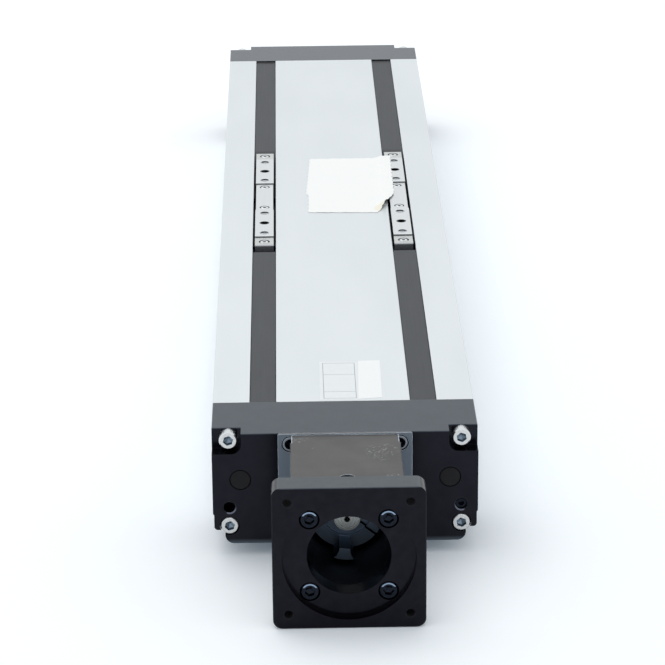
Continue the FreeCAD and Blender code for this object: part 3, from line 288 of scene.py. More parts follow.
def strip_mesh(name, section, stations):
    """A closed strip whose top passes through the stations (y, z, slope)."""
    mesh = bpy.data.meshes.new(name)
    shape = bmesh.new()
    loops = []
    for y, z, slope in stations:
        tilt = math.atan(slope)
        lean, sink = math.sin(tilt), math.cos(tilt)
        loops.append([shape.verts.new((x, y + d * lean, z - d * sink)) for x, d in section])
    for here, there in zip(loops, loops[1:]):
        for i in range(len(section)):
            j = (i + 1) % len(section)
            shape.faces.new((here[i], here[j], there[j], there[i]))
    shape.faces.new(loops[0])
    shape.faces.new(list(reversed(loops[-1])))
    bmesh.ops.recalc_face_normals(shape, faces=shape.faces)
    shape.to_mesh(mesh)
    shape.free()
    mesh.materials.append(strip_finish.material)
    piece = bpy.data.objects.new(name, mesh)
    bpy.context.collection.objects.link(piece)
    return piece


def ramp(top_y, foot_y, high, low):
    """Stations down one ramp: two equal arcs that meet halfway, level at the top and at the foot."""
    run = (foot_y - top_y) / 2
    drop = (high - low) / 2
    radius = (run * run + drop * drop) / (2 * drop)
    stations = []
    for i in range(ramp_steps + 1):
        y = abs(run) * i / ramp_steps
        sink = radius - math.sqrt(radius * radius - y * y)
        slope = -y / math.sqrt(radius * radius - y * y)
        stations.append((y, sink, slope))
    turn = 1 if run > 0 else -1
    upper = [(top_y + turn * y, high - sink, turn * slope) for y, sink, slope in stations]
    lower = [(foot_y - turn * y, low + sink, turn * slope) for y, sink, slope in reversed(stations)]
    return upper + lower[1:]


ramp_reach = 12.0 * MM
ramp_length = 25.0 * MM
for side in ("left", "right"):
    node = side + "_sealing_strip"
    strip_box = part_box(node)
    section = strip_section(strip_box)
    high = strip_box[1].z
    low = strip_box[0].z + strip_thickness
    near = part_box("front_" + side + "_strip_guide")[0].y - ramp_reach
    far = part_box("rear_" + side + "_strip_guide")[1].y + ramp_reach
    fixed_near = strip_box[0].y
    fixed_far = strip_box[1].y
    dip = ramp(near, near + ramp_length, high, low)
    dip += list(reversed(ramp(far, far - ramp_length, high, low)))
    middle_run = strip_mesh(side + "_strip_dip", section, dip)
    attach(middle_run, "carriage")
    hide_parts(node)
    for end, fixed, moving in (("front", fixed_near, near), ("rear", fixed_far, far)):
        run = strip_mesh(end + "_" + side + "_strip_run", section, [(fixed, high, 0), (moving, high, 0)])
        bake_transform(run)
        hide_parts(node)


# The carriage and its bars
# Its two halves run inside the body and show only as slotted bars, joined by link plates.
# They are milled on top and anodised silver, with small bright guides at both ends of each bar.

towards_motor = -0.7
walls_below_z = 65.6
bar_middle_x = 44.6
thread_rows = (-45.0, 65.0)
centring_pitch = 20.0
link_screw_rows = (-11.5, 31.5)
guide_screw_rows = (-80.75, 100.75)
countersink_radius = 3.2
centring_radius = 3.1
link_pocket_radius = 3.3
guide_pocket_radius = 3.55
centring_dullness = 0.85
bar_finish = Finish("milled_silver", metallic=1.0)
mill_lines = bar_finish.grain(0.3, 30, 0.3, detail=3.0, rough=0.6)
bar_tone = bar_finish.between(mill_lines, (0.64, 0.655, 0.665), (0.76, 0.77, 0.78))
below_top = bar_finish.along("Z") < walls_below_z * MM
# Painted shade: faces of the bars that look towards the motor are dark.
bar_tone = bar_finish.mixed(bar_finish.facing("Y") < towards_motor, bar_tone, (0.05, 0.055, 0.06))
# Painted shade: everything of the bars below the top, walls and holes, is near black.
bar_tone = bar_finish.mixed(below_top, bar_tone, (0.012, 0.013, 0.016))
bar_x = abs(bar_finish.along("X")) - bar_middle_x * MM
bar_y = bar_finish.along("Y")
lit_centring_walls = 0.0
for row in thread_rows:
    from_thread = abs(bar_y - row * MM)
    countersink_shade = from_point(bar_x, from_thread) < countersink_radius * MM
    lit_centring = from_point(bar_x, from_thread - centring_pitch * MM) < centring_radius * MM
    # Painted shade: a dark disc over each threaded hole and a little around it.
    bar_tone = bar_finish.mixed(countersink_shade, bar_tone, (0.03, 0.033, 0.038))
    # Painted light: the walls of the centring holes below the top are pale and less metallic, standing in
    # for their lit far walls.
    bar_tone = bar_finish.mixed(lit_centring * below_top, bar_tone, (0.75, 0.77, 0.79))
    lit_centring_walls = lit_centring_walls + lit_centring * below_top
for row in link_screw_rows:
    shaded_pocket = from_point(bar_x, bar_y - row * MM) < link_pocket_radius * MM
    # Painted shade: a dark disc around each link plate screw stands for the shadow in its pocket.
    bar_tone = bar_finish.mixed(shaded_pocket, bar_tone, (0.06, 0.063, 0.067))
bar_finish.set("Base Color", bar_tone)
bar_finish.set("Metallic", 1.0 - lit_centring_walls * centring_dullness)
bar_finish.set("Roughness", 0.24 + mill_lines * 0.16 + below_top * 0.3)
bar_finish.relief(mill_lines, 0.006, edge=0.2)
bar_finish.dress("drive_carriage", "idle_carriage", "left_link_plate", "right_link_plate")

guide_finish = Finish("bright_guides", metallic=1.0)
drawn = guide_finish.grain(14, 0.25, 0.4, detail=3.0)
guide_tone = guide_finish.between(drawn, (0.52, 0.525, 0.52), (0.66, 0.665, 0.655))
guide_below_top = guide_finish.along("Z") < walls_below_z * MM
# Painted shade: everything of the guides below the top is near black.
guide_tone = guide_finish.mixed(guide_below_top, guide_tone, (0.012, 0.013, 0.016))
# Painted shade: faces of the guides that look towards the motor are a darker grey.
guide_tone = guide_finish.mixed(guide_finish.facing("Y") < towards_motor, guide_tone, (0.34, 0.35, 0.37))
guide_x = abs(guide_finish.along("X")) - bar_middle_x * MM
for row in guide_screw_rows:
    shaded_pocket = from_point(guide_x, guide_finish.along("Y") - row * MM) < guide_pocket_radius * MM
    # Painted shade: a dark disc around each guide screw stands for the shadow in its pocket.
    guide_tone = guide_finish.mixed(shaded_pocket, guide_tone, (0.02, 0.021, 0.024))
guide_finish.set("Base Color", guide_tone)
guide_finish.set("Roughness", 0.2 + drawn * 0.18)
guide_finish.relief(drawn, 0.005, edge=0.2)
guide_finish.dress("front_left_strip_guide", "front_right_strip_guide", "rear_left_strip_guide",
                   "rear_right_strip_guide", "strip_clamps")


# The socket screws
# Cap screws of three sizes, all with a knurled head, a broken top edge and a hexagon socket.
# The outer ones are bright zinc; those of the flange and inside are black oxide.


class Rule(Wiring):
    """A Geometry Nodes tree with a geometry input and named inputs for its sizes."""

    def __init__(self, name, start, **sizes):
        super().__init__(bpy.data.node_groups.new(name, "GeometryNodeTree"))
        face = self.tree.interface
        face.new_socket(start, in_out="INPUT", socket_type="NodeSocketGeometry")
        for label, kind in sizes.items():
            face.new_socket(label.replace("_", " "), in_out="INPUT", socket_type="NodeSocket" + kind)
        face.new_socket("Made", in_out="OUTPUT", socket_type="NodeSocketGeometry")
        self.given = self.tree.nodes.new("NodeGroupInput")
        self.made = self.tree.nodes.new("NodeGroupOutput")

    def size(self, label):
        return Signal(self, self.given.outputs[label])

    def joined(self, shapes):
        join = self.tree.nodes.new("GeometryNodeJoinGeometry")
        for shape in shapes:
            self.tree.links.new(shape.socket, join.inputs[0])
        return Signal(self, join.outputs[0])

    def grown(self, name, start, values):
        """The plain mesh that the rule makes from the start object, which is removed."""
        modifier = start.modifiers.new(name, "NODES")
        modifier.node_group = self.tree
        for item in self.tree.interface.items_tree:
            if item.in_out == "INPUT" and item.name in values:
                modifier[item.identifier] = values[item.name]
        depsgraph = bpy.context.evaluated_depsgraph_get()
        mesh = bpy.data.meshes.new_from_object(start.evaluated_get(depsgraph))
        mesh.name = name
        start.modifiers.clear()
        bpy.data.objects.remove(start)
        return mesh


weld = 2e-6
same_point = 1e-6
turn_seed = 11
screw_rule = Rule("socket_screws", "Seats", Head_radius="Float", Head_height="Float", Rim="Float",
                  Key_width="Float", Thread_radius="Float", Length="Float", Knurl="Float",
                  Ridges="Int", Finish="Material", Socket_finish="Material")


def band(rule, sides, low_radius, high_radius, low, height):
    """An open band of a cone about Z, from low upwards."""
    sizes = {"Vertices": sides, "Radius Top": high_radius, "Radius Bottom": low_radius, "Depth": height}
    ring = rule.node("GeometryNodeMeshCone", {"fill_type": "NONE"}, sizes)
    lift = rule.node("ShaderNodeCombineXYZ", {}, {"Z": low})
    return rule.node("GeometryNodeTransform", {}, {"Geometry": ring, "Translation": lift})


def build_screw_rule(rule):
    """The tree: one screw from bands, a filled top with its socket, set on every seat."""
    head = rule.size("Head radius")
    height = rule.size("Head height")
    rim = rule.size("Rim")
    thread = rule.size("Thread radius")
    length = rule.size("Length")
    sides = rule.size("Ridges") * 2
    corner = rule.size("Key width") / math.sqrt(3)
    grip_low = height * 0.1
    grip_high = height - rim - height * 0.06
    socket_floor = height * 0.48
    tip = thread * 0.25
    bands = [
        band(rule, sides, thread, head, 0.0, 0.0),
        band(rule, sides, head, head, 0.0, grip_low),
        band(rule, sides, head, head, grip_low, grip_high - grip_low),
        band(rule, sides, head, head, grip_high, height - rim - grip_high),
        band(rule, sides, head, head - rim, height - rim, rim),
        band(rule, sides, thread, thread, tip - length, length - tip),
        band(rule, sides, thread - tip, thread, length * -1.0, tip),
        band(rule, sides, 0.0, thread - tip, length * -1.0, 0.0),
    ]
    outer = rule.node("GeometryNodeCurvePrimitiveCircle", {}, {"Resolution": sides, "Radius": head - rim})
    inner = rule.node("GeometryNodeCurvePrimitiveCircle", {}, {"Resolution": 6, "Radius": corner})
    top = rule.node("GeometryNodeFillCurve", {}, {"Curve": rule.joined([outer, inner])})
    lift = rule.node("ShaderNodeCombineXYZ", {}, {"Z": height})
    bands.append(rule.node("GeometryNodeTransform", {}, {"Geometry": top, "Translation": lift}))
    skin = rule.node("GeometryNodeSetMaterial", {},
                     {"Geometry": rule.joined(bands), "Material": rule.size("Finish")})
    hollow = rule.joined([
        band(rule, 6, corner, corner, socket_floor, height - socket_floor),
        band(rule, 6, 0.0, corner, socket_floor - corner * 0.3, corner * 0.3),
    ])
    lining = rule.node("GeometryNodeSetMaterial", {},
                       {"Geometry": hollow, "Material": rule.size("Socket finish")})
    both = rule.joined([skin, lining])
    whole = rule.node("GeometryNodeMergeByDistance", {}, {"Geometry": both, "Distance": weld})

    point = rule.node("GeometryNodeInputPosition", {}, {})
    across = rule.node("ShaderNodeSeparateXYZ", {}, {0: point}, "X")
    along = rule.node("ShaderNodeSeparateXYZ", {}, {0: point}, "Y")
    level = rule.node("ShaderNodeSeparateXYZ", {}, {0: point}, "Z")
    angle = rule.node("ShaderNodeMath", {"operation": "ARCTAN2"}, {0: along, 1: across})
    wave = rule.node("ShaderNodeMath", {"operation": "COSINE"}, {0: angle * rule.size("Ridges")})
    flat = rule.node("ShaderNodeVectorMath", {"operation": "MULTIPLY"}, {0: point, 1: (1, 1, 0)})
    radius = rule.node("ShaderNodeVectorMath", {"operation": "LENGTH"}, {0: flat}, "Value")
    on_grip = (radius > head * 0.99) * (level > grip_low * 0.9) * (level < grip_high * 1.01) * (wave < 0.0)
    shrink = 1.0 - on_grip * rule.size("Knurl") / head
    inwards = rule.node("ShaderNodeCombineXYZ", {}, {"X": shrink, "Y": shrink, "Z": 1.0})
    squeezed = rule.node("ShaderNodeVectorMath", {"operation": "MULTIPLY"}, {0: point, 1: inwards})
    knurled = rule.node("GeometryNodeSetPosition", {}, {"Geometry": whole, "Position": squeezed})

    facing = rule.node("GeometryNodeInputNamedAttribute", {"data_type": "FLOAT_VECTOR"}, {"Name": "facing"})
    upright = rule.node("FunctionNodeAlignRotationToVector", {"axis": "Z"}, {"Vector": facing})
    turn = rule.node("FunctionNodeRandomValue", {"data_type": "FLOAT"},
                     {2: 0.0, 3: math.tau, "Seed": turn_seed}, 1)
    spin = rule.node("FunctionNodeAxisAngleToRotation", {}, {"Axis": (0, 0, 1), "Angle": turn})
    turned = rule.node("FunctionNodeRotateRotation", {"rotation_space": "LOCAL"},
                       {"Rotation": upright, "Rotate By": spin})
    placed = rule.node("GeometryNodeInstanceOnPoints", {},
                       {"Points": rule.size("Seats"), "Instance": knurled, "Rotation": turned})
    rule.feed(rule.made.inputs[0], rule.node("GeometryNodeRealizeInstances", {}, {"Geometry": placed}))


build_screw_rule(screw_rule)

zinc = Finish("zinc_screws", metallic=1.0)
plating = zinc.grain(1.4, 1.4, 1.4, detail=4.0)
zinc.set("Base Color", zinc.between(plating, (0.60, 0.63, 0.67), (0.80, 0.80, 0.79)))
zinc.set("Roughness", 0.18 + plating * 0.2)
zinc.relief(plating, 0.01)

# Painted shade: the sockets of the zinc screws are lined with a dark bluish tone, standing in for the shade
# inside them.
socket_shade = Finish("screw_sockets", metallic=1.0)
broached = socket_shade.grain(0.5, 0.5, 0.5, detail=3.0)
socket_shade.set("Base Color", socket_shade.between(broached, (0.08, 0.12, 0.17), (0.34, 0.42, 0.50)))
socket_shade.set("Roughness", 0.25 + broached * 0.2)
socket_shade.relief(broached, 0.01)

m3_head = {"Head radius": 2.75, "Head height": 1.9, "Rim": 0.3, "Key width": 2.0, "Thread radius": 1.5,
           "Knurl": 0.05, "Ridges": 24}
m5_head = {"Head radius": 4.25, "Head height": 5.0, "Rim": 0.5, "Key width": 4.0, "Thread radius": 2.5,
           "Knurl": 0.12, "Ridges": 32}
m6_head = {"Head radius": 5.0, "Head height": 6.0, "Rim": 0.6, "Key width": 5.0, "Thread radius": 3.0,
           "Knurl": 0.14, "Ridges": 36}

axis_height = 32.0
flange_screw_offset = 20.5
flange_heads_y = -480.2
highlight_ring = (3.6, 4.35)
highlight_from_z = 2.2
plate_ring = (3.0, 4.1)
plate_ring_depth = 0.7
plate_ring_dullness = 0.8
plate_side_y = -440.0
oxide = Finish("black_screws", metallic=anodised)
oil = oxide.grain(1.2, 1.2, 1.2, detail=3.0)
oxide_tone = oxide.between(oil, (0.006, 0.008, 0.014), (0.022, 0.027, 0.038))
oxide_x, oxide_y, oxide_z = (oxide.along(axis) for axis in "XYZ")
rise = oxide_z - axis_height * MM
head_x = abs(oxide_x) - flange_screw_offset * MM
head_z = rise - rise.math("SIGN", rise) * (flange_screw_offset * MM)
from_head = from_point(head_x, head_z)
# Painted highlight: a blue-white crescent on the upper rim of each flange screw's head.
rim_highlight = (from_head > highlight_ring[0] * MM) * (from_head < highlight_ring[1] * MM)
rim_highlight = rim_highlight * (head_z > highlight_from_z * MM) * (oxide_y < flange_heads_y * MM)
plate_low, plate_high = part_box("motor_mount_screws")
head_radius = m5_head["Head radius"] * MM
plate_x = abs(oxide_x) - (plate_high.x - head_radius)
from_head = from_point(plate_x, oxide_z - (plate_high.z - head_radius))
# Painted light: a pale, less metallic ring around each motor mount screw head, standing in for the lit
# crescents in its pocket.
lit_plate_rim = (from_head > plate_ring[0] * MM) * (from_head < plate_ring[1] * MM)
lit_plate_rim = lit_plate_rim * (oxide_y < plate_low.y + plate_ring_depth * MM) * (oxide_y > plate_side_y * MM)
oxide_tone = oxide.mixed(lit_plate_rim, oxide_tone, (0.34, 0.38, 0.44))
oxide.set("Metallic", anodised - lit_plate_rim * plate_ring_dullness)
oxide.set("Base Color", oxide.mixed(rim_highlight, oxide_tone, (0.28, 0.38, 0.52)))
oxide.set("Roughness", 0.12 + oil * 0.15)
oxide.relief(oil, 0.008)


def screw_ends(node, facing):
    """Where each screw of a node sits and how long it is below its head, from the node's own solids."""
    shape = bmesh.new()
    shape.from_mesh(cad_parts[node].data)
    bmesh.ops.remove_doubles(shape, verts=shape.verts, dist=same_point)
    left = set(shape.verts)
    found = []
    while left:
        group = {left.pop()}
        edge = list(group)
        while edge:
            for link in edge.pop().link_edges:
                for corner in link.verts:
                    if corner in left:
                        left.discard(corner)
                        group.add(corner)
                        edge.append(corner)
        heights = [corner.co.dot(facing) for corner in group]
        low = Vector([min(corner.co[i] for corner in group) for i in range(3)])
        high = Vector([max(corner.co[i] for corner in group) for i in range(3)])
        centre = (low + high) / 2
        found.append((centre - facing * centre.dot(facing), max(heights), min(heights)))
    shape.free()
    return found


def seats_at(name, places, facing):
    """An object of loose points, each with the direction that its screw's head faces."""
    seats = bpy.data.meshes.new(name)
    seats.from_pydata(places, [], [])
    store = seats.attributes.new("facing", "FLOAT_VECTOR", "POINT")
    store.data.foreach_set("vector", list(facing) * len(places))
    start = bpy.data.objects.new(name, seats)
    bpy.context.collection.objects.link(start)
    return start


def fit_screws(node, body, head, finish, lining, facing):
    """Detailed screws in the places of a node's screws, each as long as the one it stands for."""
    metres = {key: value * MM for key, value in head.items() if key != "Ridges"}
    lengths = {}
    for axis_point, top, bottom in screw_ends(node, facing):
        seat = top - metres["Head height"]
        lengths.setdefault(round(seat - bottom, 5), []).append(axis_point + facing * seat)
    shape = bmesh.new()
    for length, places in lengths.items():
        values = {**metres, "Ridges": head["Ridges"], "Length": length, "Finish": finish.material,
                  "Socket finish": lining.material}
        grown = screw_rule.grown(node + "_grown", seats_at(node + "_seats", places, facing), values)
        shape.from_mesh(grown)
    bmesh.ops.remove_doubles(shape, verts=shape.verts, dist=weld)
    bmesh.ops.recalc_face_normals(shape, faces=shape.faces)
    mesh = bpy.data.meshes.new(node + "_detailed")
    shape.to_mesh(mesh)
    shape.free()
    for material in grown.materials:
        mesh.materials.append(material)
    piece = bpy.data.objects.new(node + "_detailed", mesh)
    bpy.context.collection.objects.link(piece)
    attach(piece, body)
    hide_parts(node)


to_motor = Vector((0, -1, 0))
to_far_end = Vector((0, 1, 0))
upwards = Vector((0, 0, 1))
fit_screws("drive_end_screws", "root", m6_head, zinc, socket_shade, to_motor)
fit_screws("idle_end_screws", "root", m6_head, zinc, socket_shade, to_far_end)
fit_screws("motor_mount_screws", "root", m5_head, oxide, oxide, to_motor)
fit_screws("motor_flange_screws", "root", m6_head, oxide, oxide, to_motor)
fit_screws("idle_end_cover_screws", "root", m5_head, oxide, oxide, to_far_end)
fit_screws("link_plate_screws", "carriage", m3_head, zinc, socket_shade, upwards)
fit_screws("strip_guide_screws", "carriage", m3_head, zinc, socket_shade, upwards)
zinc.dress("strip_clamp_screws")
oxide.dress("cover_plate_screws", "runner_screws", "ball_nut_screws", "coupling_clamp_screw",
            "lube_port_screw")


# The motor mount
# A short box of bare aluminium holds the coupling, and its base plate is screwed to the drive block.
# It is machined all over, dull on top, with a few light nicks from handling.

raw_box = Finish("raw_aluminium", metallic=0.85)
skin = raw_box.grain(1.1, 1.1, 1.1, detail=5.0, rough=0.7)
stains = raw_box.grain(16, 16, 16, detail=3.0)
knocks = [((19.5, -418.0), 9.0), ((-25.0, -401.0), 5.0)]
rare_knocks = 0.66
nick_level = 0.63
bore_radius = 22.2
struck = raw_box.grain(14, 14, 14) > rare_knocks
for (knock_x, knock_y), spread in knocks:
    reach = from_point(raw_box.along("X") - knock_x * MM, raw_box.along("Y") - knock_y * MM)
    struck = struck + (reach < spread * MM)
nicks = (raw_box.grain(1.0, 0.8, 0.9, detail=3.0, rough=0.6) > nick_level) * (struck > 0.5)
body_tone = raw_box.between(stains * 0.6 + skin * 0.4, (0.068, 0.066, 0.066), (0.155, 0.15, 0.15))
# Painted reflection: faces of the box that look towards the motor are lighter and bluish.
body_tone = raw_box.mixed(raw_box.facing("Y") < towards_motor, body_tone, (0.20, 0.245, 0.30))
body_tone = raw_box.mixed(nicks, body_tone, (0.40, 0.40, 0.40))
# Bright bluish edges: partly wear, partly a painted highlight.
body_tone = raw_box.mixed(raw_box.worn_and_lit_edges(0.45), body_tone, (0.78, 0.84, 0.92))
# Painted shade: the box is near black within the bore's radius of the axis.
shaded_bore = from_point(raw_box.along("X"), raw_box.along("Z") - axis_height * MM) < bore_radius * MM
raw_box.set("Base Color", raw_box.mixed(shaded_bore, body_tone, (0.008, 0.009, 0.013)))
raw_box.set("Roughness", 0.42 + skin * 0.2 - nicks * 0.15)
raw_box.relief(skin - nicks * 1.5, 0.02, edge=0.3)
raw_box.dress("motor_mount_housing")


# The motor flange
# A square aluminium plate, black anodised, bolted to the box by four screws sunk in its pilot bore.
# The face and the pilot are turned, so fine rings run about the axis.

plate_sheen_from_z = 71.6
thread_offset = 31.82
thread_shade_radius = 2.6
black_plate = Finish("black_anodised", metallic=anodised)
turning = black_plate.rings((0, 0, axis_height), 0.35, detail=2.0)
mottle = black_plate.grain(5, 5, 5, detail=4.0)
plate_tone = black_plate.between(mottle, (0.009, 0.0092, 0.0135), (0.019, 0.0192, 0.0255))
# Painted sheen: everything of these parts above this level is lighter and bluer, standing in for the bright
# sky mirrored in their tops.
plate_top_sheen = black_plate.between(mottle, (0.06, 0.07, 0.083), (0.09, 0.103, 0.117))
on_top = black_plate.along("Z") > plate_sheen_from_z * MM
black_plate.set("Base Color", black_plate.blended(on_top, plate_tone, plate_top_sheen))
thread_x = abs(black_plate.along("X")) - thread_offset * MM
thread_z = abs(black_plate.along("Z") - axis_height * MM) - thread_offset * MM
in_thread = from_point(thread_x, thread_z) < thread_shade_radius * MM
black_plate.set("Metallic", anodised - in_thread * anodised)
black_plate.set("Roughness", 0.15 + turning * 0.08 + mottle * 0.05 + in_thread * 0.7)
black_plate.relief(turning + mottle * 0.5, 0.004, edge=0.12)
black_plate.dress("motor_mount_flange", "idle_end_cover")


# The coupling hub
# The screw's half of a jaw coupling, turned from light metal and clamped on the journal.
# It shows in the bore of the motor mount, with the centre hole of the ball screw behind its jaws.

hub_metal = Finish("turned_hub", metallic=1.0)
tool_rings = hub_metal.rings((0, 0, axis_height), 0.3)
# Painted shade: the light metal is toned dark and bluish, standing in for the shade deep in the bore.
hub_metal.set("Base Color", hub_metal.between(tool_rings, (0.09, 0.13, 0.19), (0.18, 0.22, 0.28)))
hub_metal.set("Roughness", 0.25 + tool_rings * 0.2)
hub_metal.relief(tool_rings, 0.008, edge=0.2)
hub_metal.dress("coupling_hub")


# The screw, its bearings and the guideways
# Ground steel for what rolls and slides, and plain machined steel for the rings and nuts that hold it.
# Light oil darkens them in patches, and the balls of the runners have polished fine lines along the rails.

ground = Finish("ground_steel", metallic=1.0)
polish = ground.grain(0.4, 60, 0.4, detail=3.0)
ground.set("Base Color", ground.between(ground.grain(20, 50, 20), (0.48, 0.48, 0.49), (0.66, 0.66, 0.66)))
ground.set("Roughness", 0.14 + polish * 0.16)
ground.relief(polish, 0.004)
ground.dress("left_guide_rail", "right_guide_rail", "ball_nut", "fixed_bearing_outer_ring",
             "fixed_bearing_inner_ring", "floating_bearing_outer_ring", "floating_bearing_inner_ring")

screw_steel = Finish("turned_steel", metallic=1.0)
end_marks = screw_steel.rings((0, 0, axis_height), 0.55)
screw_steel.set("Base Color", screw_steel.between(end_marks, (0.16, 0.18, 0.18), (0.52, 0.54, 0.54)))
screw_steel.set("Roughness", 0.18 + end_marks * 0.16)
screw_steel.relief(end_marks, 0.01)
screw_steel.dress("ball_screw")

plain_steel = Finish("plain_steel", metallic=1.0)
oil_film = plain_steel.grain(7, 7, 7, detail=4.0)
plain_steel.set("Base Color", plain_steel.between(oil_film, (0.3, 0.3, 0.32), (0.46, 0.46, 0.47)))
plain_steel.set("Roughness", 0.26 + oil_film * 0.2)
plain_steel.relief(oil_film, 0.01, edge=0.2)
plain_steel.dress("front_left_runner_block", "front_right_runner_block", "rear_left_runner_block",
                  "rear_right_runner_block", "bearing_retainer", "lock_nut", "retaining_ring")


# Plugs, switches and buffers
# Moulded black plastic closes two holes of the drive block and houses the two switches on the left wall.
# The end buffers are rubber.

plastic = Finish("black_plastic", specular=0.12)
moulded = plastic.grain(0.4, 0.4, 0.4, detail=3.0)
plastic_tone = plastic.between(plastic.grain(7, 7, 7), (0.014, 0.014, 0.016), (0.026, 0.026, 0.028))
plastic.set("Base Color", plastic_tone)
plastic.set("Roughness", 0.4 + moulded * 0.15)
plastic.relief(moulded, 0.02, edge=0.3)
plastic.dress("drive_end_plugs", "runner_end_caps", "reference_switch", "limit_switch")
switch_proud = 1.0 * MM
switch_round = 0.7 * MM
for node in ("reference_switch", "limit_switch"):
    low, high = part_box(node)
    wall_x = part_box("main_profile")[0].x
    housing = bmesh.new()
    bmesh.ops.create_cube(housing, size=1.0)
    for corner in housing.verts:
        corner.co.x = wall_x + (0.0 if corner.co.x > 0 else -switch_proud)
        corner.co.y = high.y if corner.co.y > 0 else low.y
        corner.co.z = high.z if corner.co.z > 0 else low.z
    outer = [edge for edge in housing.edges if max(corner.co.x for corner in edge.verts) < wall_x]
    bmesh.ops.bevel(housing, geom=outer, offset=switch_round, segments=3, profile=0.5, affect="EDGES")
    bmesh.ops.recalc_face_normals(housing, faces=housing.faces)
    housing_mesh = bpy.data.meshes.new(node + "_housing")
    housing.to_mesh(housing_mesh)
    housing.free()
    housing_mesh.materials.append(plastic.material)
    housing_piece = bpy.data.objects.new(node + "_housing", housing_mesh)
    bpy.context.collection.objects.link(housing_piece)
    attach(housing_piece, "root")
    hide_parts(node)

rubber = Finish("buffer_rubber")
bloom = rubber.grain(3, 3, 3, detail=4.0)
rubber.set("Base Color", rubber.between(bloom, (0.01, 0.01, 0.01), (0.03, 0.03, 0.031)))
rubber.set("Roughness", 0.65 + bloom * 0.2)
rubber.relief(bloom, 0.02)
rubber.dress("end_bumpers")


# The labels on the cover
# A silver film label and a narrow white one are stuck side by side near the motor end.
# Both are bare, apart from an empty ruled frame on the film.


def sticker(name, corners, level, thickness, finish):
    """A flat label through four corners (x, y), from its glue face at the level."""
    mesh = bpy.data.meshes.new(name)
    shape = bmesh.new()
    low = [shape.verts.new((x * MM, y * MM, level * MM)) for x, y in corners]
    face = shape.faces.new(low)
    raised = bmesh.ops.extrude_face_region(shape, geom=[face])
    for item in raised["geom"]:
        if isinstance(item, bmesh.types.BMVert):
            item.co.z += thickness * MM
    bmesh.ops.recalc_face_normals(shape, faces=shape.faces)
    shape.to_mesh(mesh)
    shape.free()
    mesh.materials.append(finish.material)
    piece = bpy.data.objects.new(name, mesh)
    bpy.context.collection.objects.link(piece)
    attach(piece, "root")
    return piece


cover_top = 65.0
film_corners = [(-12.8, -348.1), (8.3, -348.9), (9.8, -291.0), (-12.4, -290.0)]
slip_corners = [(8.6, -347.5), (21.8, -345.8), (22.3, -289.4), (9.9, -289.7)]
film_middle = Vector((-1.5, -319.5)) * MM
frame_half = Vector((9.2, 26.8)) * MM
rule_width = 0.35 * MM
rule_levels = (-17.0 * MM, 9.0 * MM)
film_thickness = 0.08
slip_thickness = 0.12
film = Finish("label_film", metallic=0.4)
sheen = film.grain(3, 3, 3)
film_y = film.along("Y") - film_middle.y
off_x = abs(film.along("X") - film_middle.x)
off_y = abs(film_y)
inside_outer = (off_x < frame_half.x) * (off_y < frame_half.y)
inside_inner = (off_x < frame_half.x - rule_width) * (off_y < frame_half.y - rule_width)
rules = inside_outer - inside_inner
for level in rule_levels:
    rules = rules + (film_y > level) * (film_y < level + rule_width) * inside_inner
film_tone = film.between(sheen, (0.76, 0.79, 0.80), (0.82, 0.845, 0.855))
film.set("Base Color", film.mixed(rules, film_tone, (0.30, 0.32, 0.35)))
film.set("Roughness", 0.3 + sheen * 0.1)
film.relief(sheen, 0.004)
slip = Finish("white_slip")
fibre = slip.grain(0.6, 2.0, 0.6, detail=4.0)
slip.set("Base Color", slip.between(fibre, (0.88, 0.885, 0.885), (0.94, 0.945, 0.945)))
slip.set("Roughness", 0.55 + fibre * 0.15)
slip.relief(fibre, 0.01)
sticker("type_label", film_corners, cover_top, film_thickness, film)
sticker("narrow_label", slip_corners, cover_top, slip_thickness, slip)


# The torn paper sticker
# A large bare paper sticker lies across the cover and reaches over the right bar, which slides under it.
# Its edges are torn unevenly, and its near right corner has curled up.

paper = Finish("paper_sticker", specular=0.3)
pulp = paper.grain(1.2, 1.2, 1.2, detail=5.0, rough=0.7)
yellow_tint_centre = (35.0, -15.0)
yellow_tint_radius = 7.0
from_spot = from_point(paper.along("X") - yellow_tint_centre[0] * MM, paper.along("Y") - yellow_tint_centre[1] * MM)
yellow_tint = from_spot < yellow_tint_radius * MM
paper_tone = paper.between(pulp, (0.90, 0.90, 0.885), (0.955, 0.955, 0.95))
# Yellowish near the curled corner.
paper.set("Base Color", paper.mixed(yellow_tint * 0.7, paper_tone, (0.88, 0.83, 0.68)))
paper.set("Roughness", 0.62 + pulp * 0.2)
paper.relief(pulp, 0.03)
outline = [(-13.5, 95.5), (42.2, 95.7), (42.0, 12.1), (30.3, -23.0),
           (-15.7, -21.0), (-15.2, 14.6), (-16.9, 17.4)]
tear = 0.5
bar_edge_x = 37.2
bar_level = 66.8
paper_level = 65.12
paper_thickness = 0.1
curl_corner = Vector((36.0, -8.0))
curl_reach = 13.0
curl_height = 2.3
tear_waves = (1.7, 0.53)
climb_run = 7.0
crease_height = 0.12
cell = 1.5


def torn(points):
    """The outline with many small steps, each a little off the straight line."""
    edge = []
    for i, (x0, y0) in enumerate(points):
        x1, y1 = points[(i + 1) % len(points)]
        length = math.hypot(x1 - x0, y1 - y0)
        steps = max(2, int(length / cell))
        for step in range(steps):
            share = step / steps
            wander = 0
            if step:
                wander = tear * math.sin(tear_waves[0] * step + 5 * i) * math.sin(tear_waves[1] * step + i)
            x = x0 + (x1 - x0) * share - (y1 - y0) / length * wander
            y = y0 + (y1 - y0) * share + (x1 - x0) / length * wander
            edge.append((x, y))
    return edge


